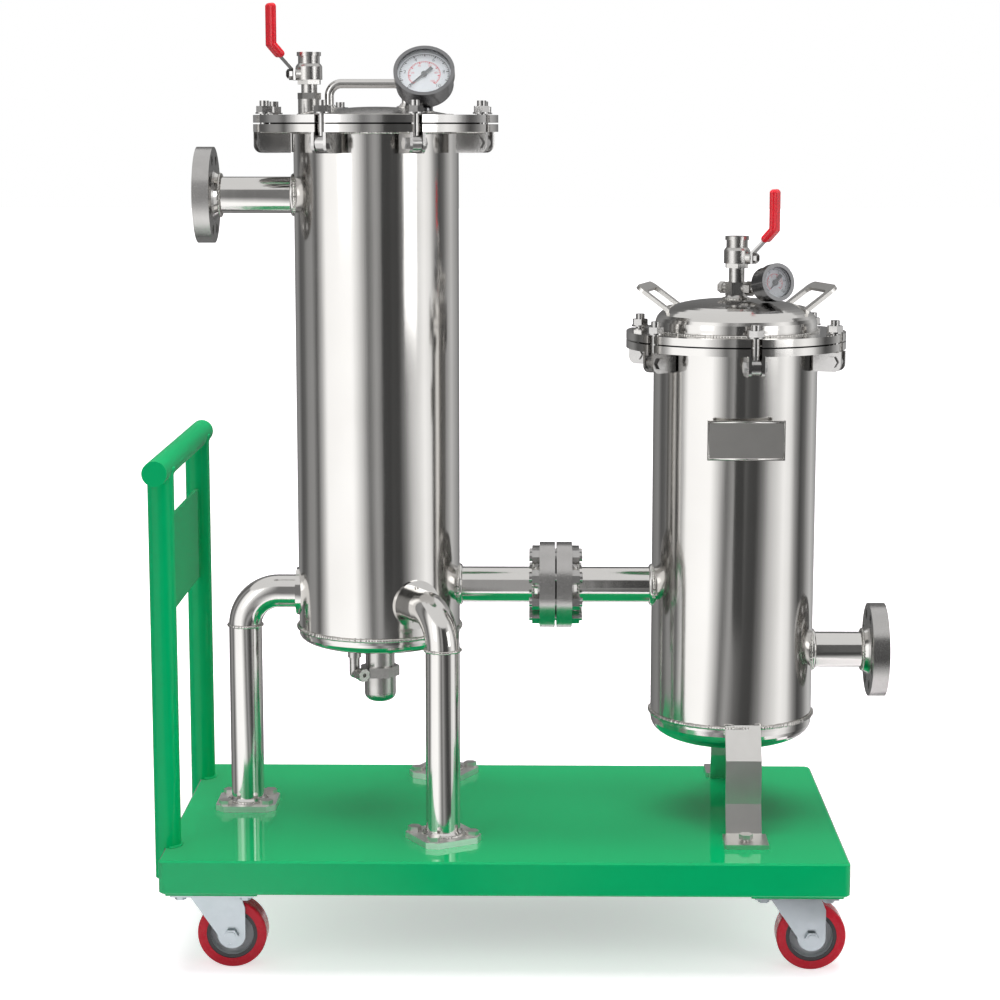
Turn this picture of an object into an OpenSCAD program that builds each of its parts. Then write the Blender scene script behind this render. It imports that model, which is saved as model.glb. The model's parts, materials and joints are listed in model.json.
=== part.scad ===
// Skid-mounted filter system: a tall cartridge vessel and a short bag vessel on a wheeled platform.
// Millimetres, Z up. The floor is Z = 0, and X = 0, Y = 0 is the middle of the whole unit seen from above.

/* [Trolley deck] */
// Length of the deck, left to right
deck_l = 884; // [860:2:960]
// Depth of the deck, front to back
deck_w = 480; // [470:2:540]
// Thickness of the deck
deck_t = 45; // [36:1:60]
// Radius of the deck's corners seen from above
deck_corner_r = 8; // [6:1:16]
// Bevel along the deck's edges
deck_bevel = 2.5; // [1:0.5:4]
// Thickness of the deck's sheet
deck_skin = 3; // [2:0.5:4]
// Thickness of the pad over each caster
pad_t = 5; // [3:0.5:8]

/* [Casters] */
// Height of a caster, floor to pad
caster_h = 106; // [104:1:116]
// Diameter of a wheel
wheel_d = 90; // [80:1:92]
// Width of the tyre
wheel_w = 32; // [26:1:36]
// Thickness of the tyre
tyre_t = 12; // [8:1:14]
// Distance of the axle behind the swivel
caster_trail = 22; // [16:1:26]
// Distance of the swivel from the deck's end
caster_inset_x = 66; // [62:1:80]
// Distance of the swivel from the deck's front or back
caster_inset_y = 60; // [52:1:80]
// Diameter of the axle bolt
axle_d = 12; // [10:1:14]
// Length of a caster's top plate
plate_l = 108; // [104:1:116]
// Width of a caster's top plate
plate_w = 84; // [80:1:92]
// Bolt spacing along the top plate
plate_bolt_x = 84; // [82:1:86]
// Bolt spacing across the top plate
plate_bolt_y = 60; // [58:1:62]

/* [Push handle] */
// Diameter of the two posts
post_d = 34; // [30:1:38]
// Diameter of the crossbar
crossbar_d = 32; // [28:1:38]
// Distance between the posts' centres
post_span = 336; // [300:2:350]
// How far the posts' centres lie inside the deck's left end
post_inset = 3; // [0:0.5:8]
// Height of the crossbar's centre above the deck
crossbar_h = 496; // [470:2:560]
// Length of the crossbar
crossbar_l = 440; // [400:5:470]
// Height of the panel's lower edge above the deck
panel_z = 296; // [260:2:310]
// Height of the panel
panel_h = 126; // [90:2:140]
// Thickness of the panel
panel_t = 4; // [3:0.5:8]

/* [Vessels] */
// Outside diameter of both vessels
shell_d = 219; // [214:1:224]
// Wall of both vessels
shell_t = 3; // [2:0.5:4]
// Place of the tall vessel along the deck
tall_x = -173; // [-180:1:-166]
// Place of the short vessel along the deck
bag_x = 307; // [300:1:314]
// Place of both vessels across the deck
vessel_y = 24; // [20:1:26]
// Height of the tall vessel's flange face above the deck
tall_flange_h = 930; // [920:2:980]
// Height of the short vessel's flange face above the deck
bag_flange_h = 645; // [630:1:700]
// Height of the tall vessel's bottom weld above the deck
tall_weld_h = 256; // [250:1:262]
// Height of the short vessel's bottom weld above the deck
bag_weld_h = 139; // [136:1:142]
// Depth of the tall vessel's bottom head below its weld
tall_head_h = 30; // [26:1:34]
// Depth of the short vessel's bottom head below its weld
bag_head_h = 44; // [38:1:48]

/* [Lids and clamps] */
// Outside diameter of the tall vessel's flange and lid
tall_flange_d = 324; // [322:1:328]
// Outside diameter of the short vessel's flange and lid
bag_flange_d = 293; // [291:1:297]
// Thickness of each flange and lid plate
flange_t = 10; // [9:0.5:12]
// Thickness of the gasket between flange and lid
gasket_t = 2; // [1.5:0.5:3]
// Swing bolts on the tall vessel
tall_bolts = 8; // [8:1:8]
// Swing bolts on the short vessel
bag_bolts = 6; // [6:1:6]
// Distance of the swing bolts inside the rim
bolt_inset = 9; // [8:0.5:10]
// Diameter of a swing bolt's stud
stud_d = 12; // [10:1:13]
// Width across flats of a swing bolt's nut
nut_af = 19; // [18:1:21]
// Height of a swing bolt's nut
nut_h = 8; // [7:0.5:10]
// Diameter of the washer under a swing bolt's nut
washer_d = 23; // [21:0.5:24]
// Slack under a nut, so that its bolt can swing out
nut_slack = 1.3; // [1.2:0.1:2]
// Depth of the pivot pins below the lid's top face
pivot_drop = 36; // [34:0.5:40]
// Diameter of a pivot pin
pin_d = 10; // [8:1:11]
// Rise of the tall lid's low dome
tall_dome_h = 11; // [8:1:14]
// Diameter of the tall lid's low dome
tall_dome_d = 204; // [196:2:208]
// Rise of the short lid's deep dome
bag_dome_h = 43; // [38:1:50]
// Diameter of the short lid's deep dome
bag_dome_d = 216; // [210:1:218]

/* [Legs] */
// Diameter of the tall vessel's leg tubes
leg_d = 45; // [42:1:48]
// Wall of the leg tubes
leg_t = 2.5; // [2:0.5:4]
// Distance of the leg tubes from the vessel's axis
leg_r = 184; // [180:1:185]
// Bend radius of the legs at their centre line
leg_bend_r = 47; // [44:1:50]
// Height of the legs' horizontal part above the deck
leg_top_h = 301; // [296:1:320]
// Side of a leg's foot plate
foot_s = 82; // [80:1:84]
// Thickness of a foot plate
foot_t = 8; // [6:1:10]
// Width of the short vessel's strap legs
strap_w = 47; // [40:1:54]
// Thickness of the strap legs
strap_t = 6; // [5:0.5:8]

/* [Nozzles and link pipe] */
// Outside diameter of the process pipes
pipe_d = 48.3; // [46:0.1:50]
// Wall of the process pipes
pipe_t = 2.8; // [2:0.1:4]
// Outside diameter of the end flanges
end_flange_d = 127; // [124:1:132]
// Thickness of the end flanges
end_flange_t = 22; // [18:1:24]
// Bolt circle of the end flanges
end_pcd = 98; // [96:1:100]
// Bolt holes in each end flange
end_bolts = 8; // [8:1:8]
// Diameter of the bolt holes in the end flanges
end_hole_d = 13; // [11:0.5:14]
// Distance of the upper nozzle below the tall vessel's flange face
upper_nozzle_drop = 93; // [80:1:110]
// Distance of the upper nozzle's face from the tall vessel's axis
upper_nozzle_r = 238; // [234:1:260]
// Height of the lower nozzle above the deck
lower_nozzle_h = 222; // [216:1:228]
// Distance of the lower nozzle's face from the short vessel's axis
lower_nozzle_r = 208; // [206:1:230]
// Height of the link pipe above the deck
link_h = 311; // [306:1:320]
// Outside diameter of the link flanges
link_flange_d = 116; // [114:1:120]
// Thickness of each link flange
link_flange_t = 21; // [18:1:23]
// Bolt circle of the link flanges
link_pcd = 88; // [86:1:90]
// Bolts through the link flanges
link_bolts = 8; // [8:1:8]
// Diameter of the link bolts
link_bolt_d = 12; // [10:1:12]

/* [Valves and gauges] */
// Diameter of a vent valve's body
valve_d = 35; // [33:1:37]
// Height of a vent valve's body
valve_h = 27; // [26:1:30]
// Diameter of a vent valve's ball
ball_d = 22; // [20:1:23]
// Bore of the vent valves
vent_bore_d = 14; // [12:1:14]
// Diameter of a valve stem
stem_d = 8; // [7:0.5:9]
// Length of a vent lever from its stem to its tip
lever_l = 89; // [84:1:94]
// Case diameter of the tall vessel's gauge
tall_gauge_d = 80; // [76:1:82]
// Case diameter of the short vessel's gauge
bag_gauge_d = 50; // [48:1:54]
// Depth of a gauge case
gauge_depth = 26; // [24:1:28]
// Upward tilt of the tall vessel's gauge
tall_gauge_tilt = 36; // [30:1:40]
// Upward tilt of the short vessel's gauge
bag_gauge_tilt = 10; // [6:1:12]
// Turn of the short vessel's gauge to the right
bag_gauge_yaw = 28; // [24:1:32]

/* [Filter elements] */
// Cartridges in the tall vessel
cartridges = 7; // [7:1:7]
// Diameter of a cartridge
cartridge_d = 63; // [60:1:64]
// Room between the cartridges and the tall vessel's flange face
cartridge_headroom = 63; // [40:1:90]
// Diameter of the bag's basket
basket_d = 178; // [170:1:180]
// Length of the bag's basket
basket_l = 420; // [380:5:430]

/* [Hidden] */
$fn = 48;
joint_gap = 0.3; // between parts that move past each other
fit_gap = 0.05; // radial clearance of a running fit
seat_gap = 0.1; // radial clearance of a bolt in its hole
deck_top = caster_h + pad_t + deck_t;
deck_bottom = deck_top - deck_t;
shell_r = shell_d / 2;
handle_out = max(post_d, crossbar_d) / 2 - post_inset;
deck_x = (deck_l / 2 + handle_out - bag_x - lower_nozzle_r) / 2;
tall_flange_z = deck_top + tall_flange_h;
bag_flange_z = deck_top + bag_flange_h;
tall_lid_z = tall_flange_z + gasket_t + flange_t;
bag_lid_z = bag_flange_z + gasket_t + flange_t;
tall_weld_z = deck_top + tall_weld_h;
bag_weld_z = deck_top + bag_weld_h;
tall_flange_r = tall_flange_d / 2;
bag_flange_r = bag_flange_d / 2;
tall_bolt_r = tall_flange_r - bolt_inset;
bag_bolt_r = bag_flange_r - bolt_inset;
tall_bolt_a = 22.5; // angle of the first swing bolt
bag_bolt_a = -84; // angle of the first swing bolt
slot_w = stud_d + 2;
lug_gap = stud_d + 1.2;
lug_t = 4;
lug_reach = 32; // from a pivot pin inward
lug_out = 12; // from a pivot pin outward
lug_corner_r = 10;
eye_r = 11;
axle_z = wheel_d / 2;
caster_x = deck_l / 2 - caster_inset_x;
caster_y = deck_w / 2 - caster_inset_y;
plate_t = 4;
race_t = 3;
crown_t = 3;
crown_top = caster_h - plate_t - race_t - seat_gap;
fork_gap = wheel_w + 4;
cheek_t = 3;
tube_r = pipe_d / 2;
bore_r = tube_r - pipe_t;
link_x = deck_x + (tall_x + bag_x) / 2;
link_z = deck_top + link_h;
upper_z = tall_flange_z - upper_nozzle_drop;
lower_z = deck_top + lower_nozzle_h;
bolt_d = 10; // deck bolts
bolt_af = 16;
bolt_head_h = 6.5;
caster_bolt_d = 8;
leg_angles = [180, -60, 64];
strap_bolt_r = 181; // bolts of the strap legs from the axis
strap_toe_r = 203;
strap_shift = 8; // of the strap legs to the right
foot_bolt_s = foot_s / 2 - 13;

// Places shared by several parts
module at_tall() {
  translate([deck_x + tall_x, vessel_y, 0]) children();
}

module at_bag() {
  translate([deck_x + bag_x, vessel_y, 0]) children();
}

module polar(angle, radius) {
  rotate([0, 0, angle]) translate([radius, 0, 0]) children();
}

module along_x() {
  rotate([0, 90, 0]) children();
}

module tube(r_out, r_in, length) {
  difference() {
    cylinder(r = r_out, h = length);
    translate([0, 0, -1]) cylinder(r = r_in, h = length + 2);
  }
}

module hex_prism(across_flats, height) {
  cylinder(r = across_flats / sqrt(3), h = height, $fn = 6);
}

module weld_ring(radius, size) {
  rotate_extrude() translate([radius, 0]) circle(r = size, $fn = 16);
}

// Deck
module rounded_slab(length, width, radius) {
  for (x = [-1, 1], y = [-1, 1]) {
    translate([x * (length / 2 - radius), y * (width / 2 - radius)]) circle(r = radius, $fn = 32);
  }
  square([length - 2 * radius, width], center = true);
  square([length, width - 2 * radius], center = true);
}

module deck_body() {
  skin = 0.5;
  hull() {
    translate([0, 0, deck_bottom + deck_bevel])
      linear_extrude(deck_t - 2 * deck_bevel) rounded_slab(deck_l, deck_w, deck_corner_r);
    translate([0, 0, deck_bottom]) linear_extrude(skin)
      rounded_slab(deck_l - 2 * deck_bevel, deck_w - 2 * deck_bevel, deck_corner_r);
    translate([0, 0, deck_top - skin]) linear_extrude(skin)
      rounded_slab(deck_l - 2 * deck_bevel, deck_w - 2 * deck_bevel, deck_corner_r);
  }
}

module at_casters() {
  for (x = [-1, 1], y = [-1, 1]) translate([deck_x + x * caster_x, y * caster_y, 0]) children();
}

module caster_bolt_places() {
  for (x = [-1, 1], y = [-1, 1]) {
    translate([x * plate_bolt_x / 2, y * plate_bolt_y / 2, 0]) children();
  }
}

module foot_bolt_places() {
  at_tall() for (a = leg_angles) polar(a, leg_r) {
    for (x = [-1, 1], y = [-1, 1]) translate([x * foot_bolt_s, y * foot_bolt_s, deck_top]) children();
  }
  at_bag() for (side = [-1, 1]) translate([strap_shift, side * strap_bolt_r, deck_top]) children();
}

bolt_depth = 20; // how far the deck bolts reach down into the deck
caster_bolt_depth = 20; // how far the caster bolts reach up into the pad and deck

module deck() {
  pad_l = plate_l + 10;
  pad_w = plate_w + 12;
  color("mediumseagreen") difference() {
    union() {
      translate([deck_x, 0, 0]) deck_body();
      at_casters() translate([-pad_l / 2, -pad_w / 2, caster_h]) cube([pad_l, pad_w, pad_t + 1]);
    }
    translate([deck_x, 0, deck_bottom + deck_skin]) linear_extrude(deck_t - 2 * deck_skin)
      rounded_slab(deck_l - 2 * deck_skin, deck_w - 2 * deck_skin, deck_corner_r - deck_skin);
    foot_bolt_places() translate([0, 0, -deck_skin - 1])
      cylinder(r = bolt_d / 2 + seat_gap, h = deck_skin + 2);
    at_casters() caster_bolt_places() translate([0, 0, caster_h - 1])
      cylinder(r = caster_bolt_d / 2 + seat_gap, h = pad_t + deck_skin + 2);
  }
}

// Push handle: two posts, a crossbar and a sheet panel, welded together
module push_handle() {
  post_x = deck_x - deck_l / 2 + post_inset;
  post_r = post_d / 2;
  bar_z = deck_top + crossbar_h;
  foot_z = deck_bottom + 3;
  color("mediumseagreen") {
    difference() {
      for (y = [-1, 1]) translate([post_x, y * post_span / 2, foot_z]) cylinder(r = post_r, h = bar_z - foot_z);
      translate([deck_x - deck_l / 2, -deck_w / 2, deck_bottom - 1]) cube([deck_l, deck_w, deck_t + 1]);
      translate([post_x, 0, bar_z]) rotate([90, 0, 0])
        cylinder(r = crossbar_d / 2, h = crossbar_l, center = true);
    }
    translate([post_x, 0, bar_z]) rotate([90, 0, 0])
      cylinder(r = crossbar_d / 2, h = crossbar_l, center = true);
    difference() {
      translate([post_x - panel_t / 2, -post_span / 2, deck_top + panel_z])
        cube([panel_t, post_span, panel_h]);
      for (y = [-1, 1]) translate([post_x, y * post_span / 2, deck_top]) cylinder(r = post_r, h = crossbar_h);
    }
  }
}

// Casters
king_r = 7;

module caster_plates() {
  hub_r = 10;
  color("lightsteelblue") at_casters() {
    difference() {
      union() {
        translate([-plate_l / 2, -plate_w / 2, caster_h - plate_t]) cube([plate_l, plate_w, plate_t]);
        translate([0, 0, caster_h - plate_t - race_t]) cylinder(r = 29, h = race_t);
        translate([0, 0, crown_top - crown_t - 3]) cylinder(r = king_r, h = crown_t + race_t + 4);
        translate([0, 0, crown_top - crown_t - 3 - seat_gap]) cylinder(r = hub_r, h = 3);
      }
      caster_bolt_places() translate([0, 0, caster_h - plate_t - 1])
        cylinder(r = caster_bolt_d / 2 + seat_gap, h = plate_t + 2);
    }
  }
}

module caster_bolts() {
  color("silver") at_casters() caster_bolt_places() {
    translate([0, 0, caster_h - plate_t - 5.5]) hex_prism(13, 5.5);
    translate([0, 0, caster_h - plate_t]) cylinder(r = caster_bolt_d / 2, h = plate_t + caster_bolt_depth);
  }
}

cheek_r = 18; // round lower end of a fork's cheek

module cheek_outline() {
  top = crown_top - crown_t;
  polygon([
    [-31, top], [34, top], [caster_trail + cheek_r, top - 14], [caster_trail + cheek_r, axle_z], [caster_trail - cheek_r, axle_z]
  ]);
  translate([caster_trail, axle_z]) circle(r = cheek_r);
}

module fork(x, y) {
  color("lightsteelblue") translate([deck_x + x * caster_x, y * caster_y, 0]) {
    difference() {
      union() {
        translate([0, 0, crown_top - crown_t]) intersection() {
          cylinder(r = 36, h = crown_t);
          translate([-36, -fork_gap / 2 - cheek_t, -1]) cube([72, fork_gap + 2 * cheek_t, crown_t + 2]);
        }
        for (side = [-1, 1]) translate([0, side * (fork_gap + cheek_t) / 2, 0]) rotate([90, 0, 0])
          linear_extrude(cheek_t, center = true) cheek_outline();
      }
      translate([0, 0, crown_top - crown_t - 1]) cylinder(r = king_r + fit_gap, h = crown_t + 2);
      translate([caster_trail, 0, axle_z]) rotate([90, 0, 0])
        cylinder(r = axle_d / 2, h = fork_gap + 4 * cheek_t, center = true);
    }
    translate([caster_trail, 0, axle_z]) rotate([90, 0, 0]) {
      reach = fork_gap / 2 + cheek_t;
      axle_end = 7;
      cylinder(r = axle_d / 2, h = 2 * (reach + axle_end), center = true);
      translate([0, 0, reach]) hex_prism(16, axle_end - 1);
      translate([0, 0, -reach - axle_end]) hex_prism(16, axle_end);
    }
  }
}

module wheel(x, y) {
  tyre_r = wheel_d / 2;
  core_r = tyre_r - tyre_t;
  hub_r = 14;
  web_w = 8;
  rim_t = 5;
  tyre_edge_r = 3;
  translate([deck_x + x * caster_x + caster_trail, y * caster_y, axle_z]) rotate([90, 0, 0]) {
    color("crimson") rotate_extrude($fn = 96) {
      translate([core_r, -wheel_w / 2 + tyre_edge_r]) square([tyre_t, wheel_w - 2 * tyre_edge_r]);
      translate([core_r, -wheel_w / 2]) square([tyre_t - tyre_edge_r, wheel_w]);
      for (s = [-1, 1]) translate([tyre_r - tyre_edge_r, s * (wheel_w / 2 - tyre_edge_r)])
        circle(r = tyre_edge_r, $fn = 24);
    }
    color("dimgray") difference() {
      union() {
        cylinder(r = hub_r, h = fork_gap - 1, center = true);
        cylinder(r = core_r, h = web_w, center = true);
        translate([0, 0, -wheel_w / 2 + 1]) tube(core_r, core_r - rim_t, wheel_w - 2);
      }
      cylinder(r = axle_d / 2 + fit_gap, h = fork_gap + 2, center = true);
    }
  }
}

// Bolts that hold the vessels' feet to the deck
module deck_bolts() {
  color("silver") foot_bolt_places() {
    translate([0, 0, -bolt_depth]) cylinder(r = bolt_d / 2, h = bolt_depth + foot_t);
    translate([0, 0, foot_t]) hex_prism(bolt_af, bolt_head_h);
  }
}

// Vessels
module rim_slots(rim_r, bolt_r, count, first, z, height) {
  for (i = [0 : count - 1]) polar(first + i * 360 / count, bolt_r) translate([0, 0, z - 1]) {
    cylinder(r = slot_w / 2, h = height + 2);
    translate([0, -slot_w / 2, 0]) cube([rim_r - bolt_r + 2, slot_w, height + 2]);
  }
}

module nozzle_cut(angle, z) {
  rotate([0, 0, angle]) translate([0, 0, z]) along_x() cylinder(r = bore_r, h = shell_r + 5);
}

module vessel_shell(weld_z, flange_z, rim_r, bolt_r, count, first) {
  difference() {
    union() {
      translate([0, 0, weld_z]) cylinder(r = shell_r, h = flange_z - weld_z);
      translate([0, 0, flange_z - flange_t]) cylinder(r = rim_r, h = flange_t);
    }
    translate([0, 0, weld_z - 1]) cylinder(r = shell_r - shell_t, h = flange_z - weld_z + 2);
    rim_slots(rim_r, bolt_r, count, first, flange_z - flange_t, flange_t);
    children();
  }
}

module tall_shell() {
  color("gainsboro") at_tall()
    vessel_shell(tall_weld_z, tall_flange_z, tall_flange_r, tall_bolt_r, tall_bolts, tall_bolt_a) {
      nozzle_cut(180, upper_z);
      nozzle_cut(0, link_z);
    }
}

module bag_shell() {
  color("gainsboro") at_bag()
    vessel_shell(bag_weld_z, bag_flange_z, bag_flange_r, bag_bolt_r, bag_bolts, bag_bolt_a) {
      nozzle_cut(0, lower_z);
      nozzle_cut(180, link_z);
    }
}

// Half outline of a dished end of radius r and depth d, rounded more at its rim than an ellipse
function dish(r, d, power = 2.5, steps = 14) =
  [for (i = [0 : steps]) let (a = 90 * i / steps) [r * pow(sin(a), 2 / power), d * pow(cos(a), 2 / power)]];

module dished_solid(r, d) {
  rotate_extrude() polygon(concat([[0, 0]], dish(r, d)));
}

module bottom_head(weld_z, depth) {
  skirt = 8;
  translate([0, 0, weld_z]) {
    difference() {
      union() {
        translate([0, 0, -skirt]) cylinder(r = shell_r, h = skirt);
        translate([0, 0, -skirt]) mirror([0, 0, 1]) dished_solid(shell_r, depth - skirt);
        translate([0, 0, -1.6]) weld_ring(shell_r, 1.6);
      }
      translate([0, 0, -skirt]) cylinder(r = shell_r - shell_t, h = skirt + 3);
      translate([0, 0, -skirt]) mirror([0, 0, 1]) dished_solid(shell_r - shell_t, depth - skirt - shell_t);
      children();
    }
  }
}

module tall_bottom_head() {
  color("gainsboro") at_tall() bottom_head(tall_weld_z, tall_head_h) {
    translate([0, 0, -tall_head_h - 2]) cylinder(r = drain_bore_r, h = tall_head_h);
    translate([side_drain_x, side_drain_y, -tall_head_h - 2]) cylinder(r = 5, h = tall_head_h);
  }
}

module bag_bottom_head() {
  color("gainsboro") at_bag() bottom_head(bag_weld_z, bag_head_h);
}

// Lids
tall_vent = [-88, 0];
tall_gauge_at = [66, -36];
handle_at = [-62, 40];
handle_y = 6;
handle_rod_d = 12;
handle_rise = 41;
handle_bend_r = 16;
gauge_port_r = 3;

// The whole ball that the tall lid's low dome is a cap of
tall_ball_r = (pow(tall_dome_d / 2, 2) + pow(tall_dome_h, 2)) / (2 * tall_dome_h);

module tall_dome_ball() {
  translate([0, 0, tall_lid_z + tall_dome_h - tall_ball_r]) sphere(r = tall_ball_r, $fn = 96);
}

function tall_dome_z(d) = tall_dome_h - tall_ball_r + sqrt(pow(tall_ball_r, 2) - d * d);

// Height of the flat boss under a foot of the lid's handle
handle_foot_r = handle_rod_d / 2 + 5;
function handle_boss_h(x) = ceil(10 * tall_dome_z(norm([x, handle_y]) - handle_foot_r) + 2) / 10;

module tall_lid_dome() {
  intersection() {
    tall_dome_ball();
    translate([0, 0, tall_lid_z]) cylinder(r = tall_dome_d / 2 + 5, h = tall_dome_h + 1);
  }
}

module tall_lid() {
  color("gainsboro") at_tall() difference() {
    union() {
      translate([0, 0, tall_lid_z - flange_t]) cylinder(r = tall_flange_r, h = flange_t);
      tall_lid_dome();
      for (x = handle_at) translate([x, handle_y, tall_lid_z]) cylinder(r = handle_foot_r, h = handle_boss_h(x));
    }
    rim_slots(tall_flange_r, tall_bolt_r, tall_bolts, tall_bolt_a, tall_lid_z - flange_t, flange_t);
    translate([tall_vent[0], tall_vent[1], tall_lid_z - flange_t - 1])
      cylinder(r = vent_bore_d / 2, h = flange_t + tall_dome_h + 2);
    translate([tall_gauge_at[0], tall_gauge_at[1], tall_lid_z - flange_t - 1])
      cylinder(r = gauge_port_r, h = flange_t + tall_dome_h + 2);
  }
}

module tall_lid_handle() {
  rod_r = handle_rod_d / 2;
  span = handle_at[1] - handle_at[0];
  top = tall_lid_z + handle_rise;
  color("silver") at_tall() translate([0, handle_y, 0]) {
    for (x = handle_at) translate([x, 0, tall_lid_z + handle_boss_h(x)]) {
      cylinder(r1 = handle_foot_r, r2 = rod_r + 1, h = 5);
      cylinder(r = rod_r, h = handle_rise - handle_bend_r - handle_boss_h(x));
    }
    translate([handle_at[0] + handle_bend_r, 0, top]) along_x()
      cylinder(r = rod_r, h = span - 2 * handle_bend_r);
    translate([handle_at[0] + handle_bend_r, 0, top - handle_bend_r]) rotate([90, -90, 0])
      rotate_extrude(angle = 90) translate([handle_bend_r, 0]) circle(r = rod_r, $fn = 32);
    translate([handle_at[1] - handle_bend_r, 0, top - handle_bend_r]) rotate([90, 0, 0])
      rotate_extrude(angle = 90) translate([handle_bend_r, 0]) circle(r = rod_r, $fn = 32);
  }
}

// The deep dome of the short vessel's lid
module bag_lid_dome(inset = 0) {
  skirt = 8;
  translate([0, 0, bag_lid_z]) {
    translate([0, 0, -0.5]) cylinder(r = bag_dome_d / 2 - inset, h = skirt + 0.5);
    translate([0, 0, skirt]) dished_solid(bag_dome_d / 2 - inset, bag_dome_h - skirt - inset);
  }
}

module bag_lid() {
  color("gainsboro") at_bag() difference() {
    union() {
      translate([0, 0, bag_lid_z - flange_t]) cylinder(r = bag_flange_r, h = flange_t);
      bag_lid_dome();
    }
    translate([0, 0, bag_lid_z - flange_t - 1])
      cylinder(r = bag_dome_d / 2 - shell_t, h = flange_t + 1);
    bag_lid_dome(shell_t);
    rim_slots(bag_flange_r, bag_bolt_r, bag_bolts, bag_bolt_a, bag_lid_z - flange_t, flange_t);
    translate([0, 0, bag_lid_z]) cylinder(r = vent_bore_d / 2, h = bag_dome_h + 2);
  }
}

loop_turn = 15; // of the two loops to the back

module bag_lid_handles() {
  loop_l = 66;
  loop_w = 92;
  bar = 13;
  thick = 5;
  slope = 36;
  root_r = 74;
  root_drop = 22;
  color("silver") at_bag() for (side = [loop_turn, 180 - loop_turn]) rotate([0, 0, side]) difference() {
    translate([root_r, 0, bag_lid_z + bag_dome_h - root_drop]) rotate([0, -slope, 0]) difference() {
      translate([0, 0, -thick / 2]) linear_extrude(thick) rounded_slab_from_left(loop_l, loop_w, 12);
      translate([0, 0, -thick]) linear_extrude(2 * thick) translate([bar, 0])
        rounded_slab_from_left(loop_l - 2 * bar, loop_w - 2 * bar, 6);
    }
    bag_lid_dome();
  }
}

module rounded_slab_from_left(length, width, radius) {
  translate([length / 2, 0]) rounded_slab(length, width, radius);
}

// Clamps: folded lugs under the flange, with a pivot pin through each
module lug_outline(inward, low, top) {
  translate([-inward, low]) square([inward + lug_out - lug_corner_r, top - low]);
  translate([-inward, low + lug_corner_r]) square([inward + lug_out, top - low - lug_corner_r]);
  translate([lug_out - lug_corner_r, low + lug_corner_r]) circle(r = lug_corner_r);
}

module lug_at_origin(flange_bottom, pivot_z, bolt_r) {
  inward = min(lug_reach, bolt_r - shell_r - 2);
  low = pivot_z - eye_r - 2;
  half = lug_gap / 2 + lug_t;
  difference() {
    rotate([90, 0, 0]) linear_extrude(2 * half, center = true) lug_outline(inward, low, flange_bottom);
    translate([lug_t - inward, -lug_gap / 2, low - 1])
      cube([inward + lug_out, lug_gap, flange_bottom - low + 2]);
    translate([0, 0, pivot_z]) rotate([90, 0, 0]) cylinder(r = pin_d / 2, h = 4 * half, center = true);
  }
  translate([0, 0, pivot_z]) rotate([90, 0, 0]) {
    cylinder(r = pin_d / 2, h = 2 * half, center = true);
    translate([0, 0, half]) hex_prism(14, 5);
    translate([0, 0, -half - 4]) hex_prism(14, 4);
  }
}

module swing_lugs() {
  color("silver") {
    at_tall() for (i = [0 : tall_bolts - 1]) polar(tall_bolt_a + i * 360 / tall_bolts, tall_bolt_r)
      lug_at_origin(tall_flange_z - flange_t, tall_lid_z - pivot_drop, tall_bolt_r);
    at_bag() for (i = [0 : bag_bolts - 1]) polar(bag_bolt_a + i * 360 / bag_bolts, bag_bolt_r)
      lug_at_origin(bag_flange_z - flange_t, bag_lid_z - pivot_drop, bag_bolt_r);
  }
}

washer_t = 2;
stud_end = 7; // of a stud above its nut

module swing_bolt(lid_z) {
  pivot_z = lid_z - pivot_drop;
  washer_z = lid_z + nut_slack;
  nut_z = washer_z + washer_t;
  eye_w = lug_gap - 1;
  color("silver") {
    difference() {
      union() {
        translate([0, 0, pivot_z]) rotate([90, 0, 0]) cylinder(r = eye_r, h = eye_w, center = true);
        translate([0, 0, pivot_z]) cylinder(r = stud_d / 2, h = nut_z + nut_h + stud_end - pivot_z);
        translate([0, 0, washer_z]) cylinder(r = washer_d / 2, h = washer_t);
      }
      translate([0, 0, pivot_z]) rotate([90, 0, 0])
        cylinder(r = pin_d / 2 + fit_gap, h = eye_w + stud_d, center = true);
    }
    difference() {
      translate([0, 0, nut_z]) hex_prism(nut_af, nut_h);
      translate([0, 0, nut_z - 1]) cylinder(r = stud_d / 2, h = nut_h + 2);
    }
  }
}

module tall_swing_bolt(i) {
  at_tall() polar(tall_bolt_a + i * 360 / tall_bolts, tall_bolt_r) swing_bolt(tall_lid_z);
}

module bag_swing_bolt(i) {
  at_bag() polar(bag_bolt_a + i * 360 / bag_bolts, bag_bolt_r) swing_bolt(bag_lid_z);
}

module gaskets() {
  color("dimgray") {
    at_tall() translate([0, 0, tall_flange_z]) tube(tall_bolt_r - 14, shell_r, gasket_t);
    at_bag() translate([0, 0, bag_flange_z]) tube(bag_bolt_r - 12, shell_r, gasket_t);
    translate([link_x - link_gasket_t / 2, vessel_y, link_z]) along_x()
      tube(link_pcd / 2 - link_bolt_d / 2 - 3, bore_r, link_gasket_t);
  }
}

// Legs of the tall vessel: a tube bent down through a quarter circle, on a bolted foot plate
module leg_path(r, start) {
  straight = leg_r - leg_bend_r - start;
  turn_z = leg_top_h - leg_bend_r;
  translate([start, 0, leg_top_h]) along_x() cylinder(r = r, h = straight);
  translate([leg_r - leg_bend_r, 0, turn_z]) rotate([90, 0, 0]) rotate_extrude(angle = 90)
    translate([leg_bend_r, 0]) circle(r = r);
  translate([leg_r, 0, foot_t]) cylinder(r = r, h = turn_z - foot_t);
}

module foot_outline() {
  h = foot_s / 2;
  c = 12;
  polygon([[h - c, h], [h, h - c], [h, c - h], [h - c, -h], [c - h, -h], [-h, c - h], [-h, h - c], [c - h, h]]);
}

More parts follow.
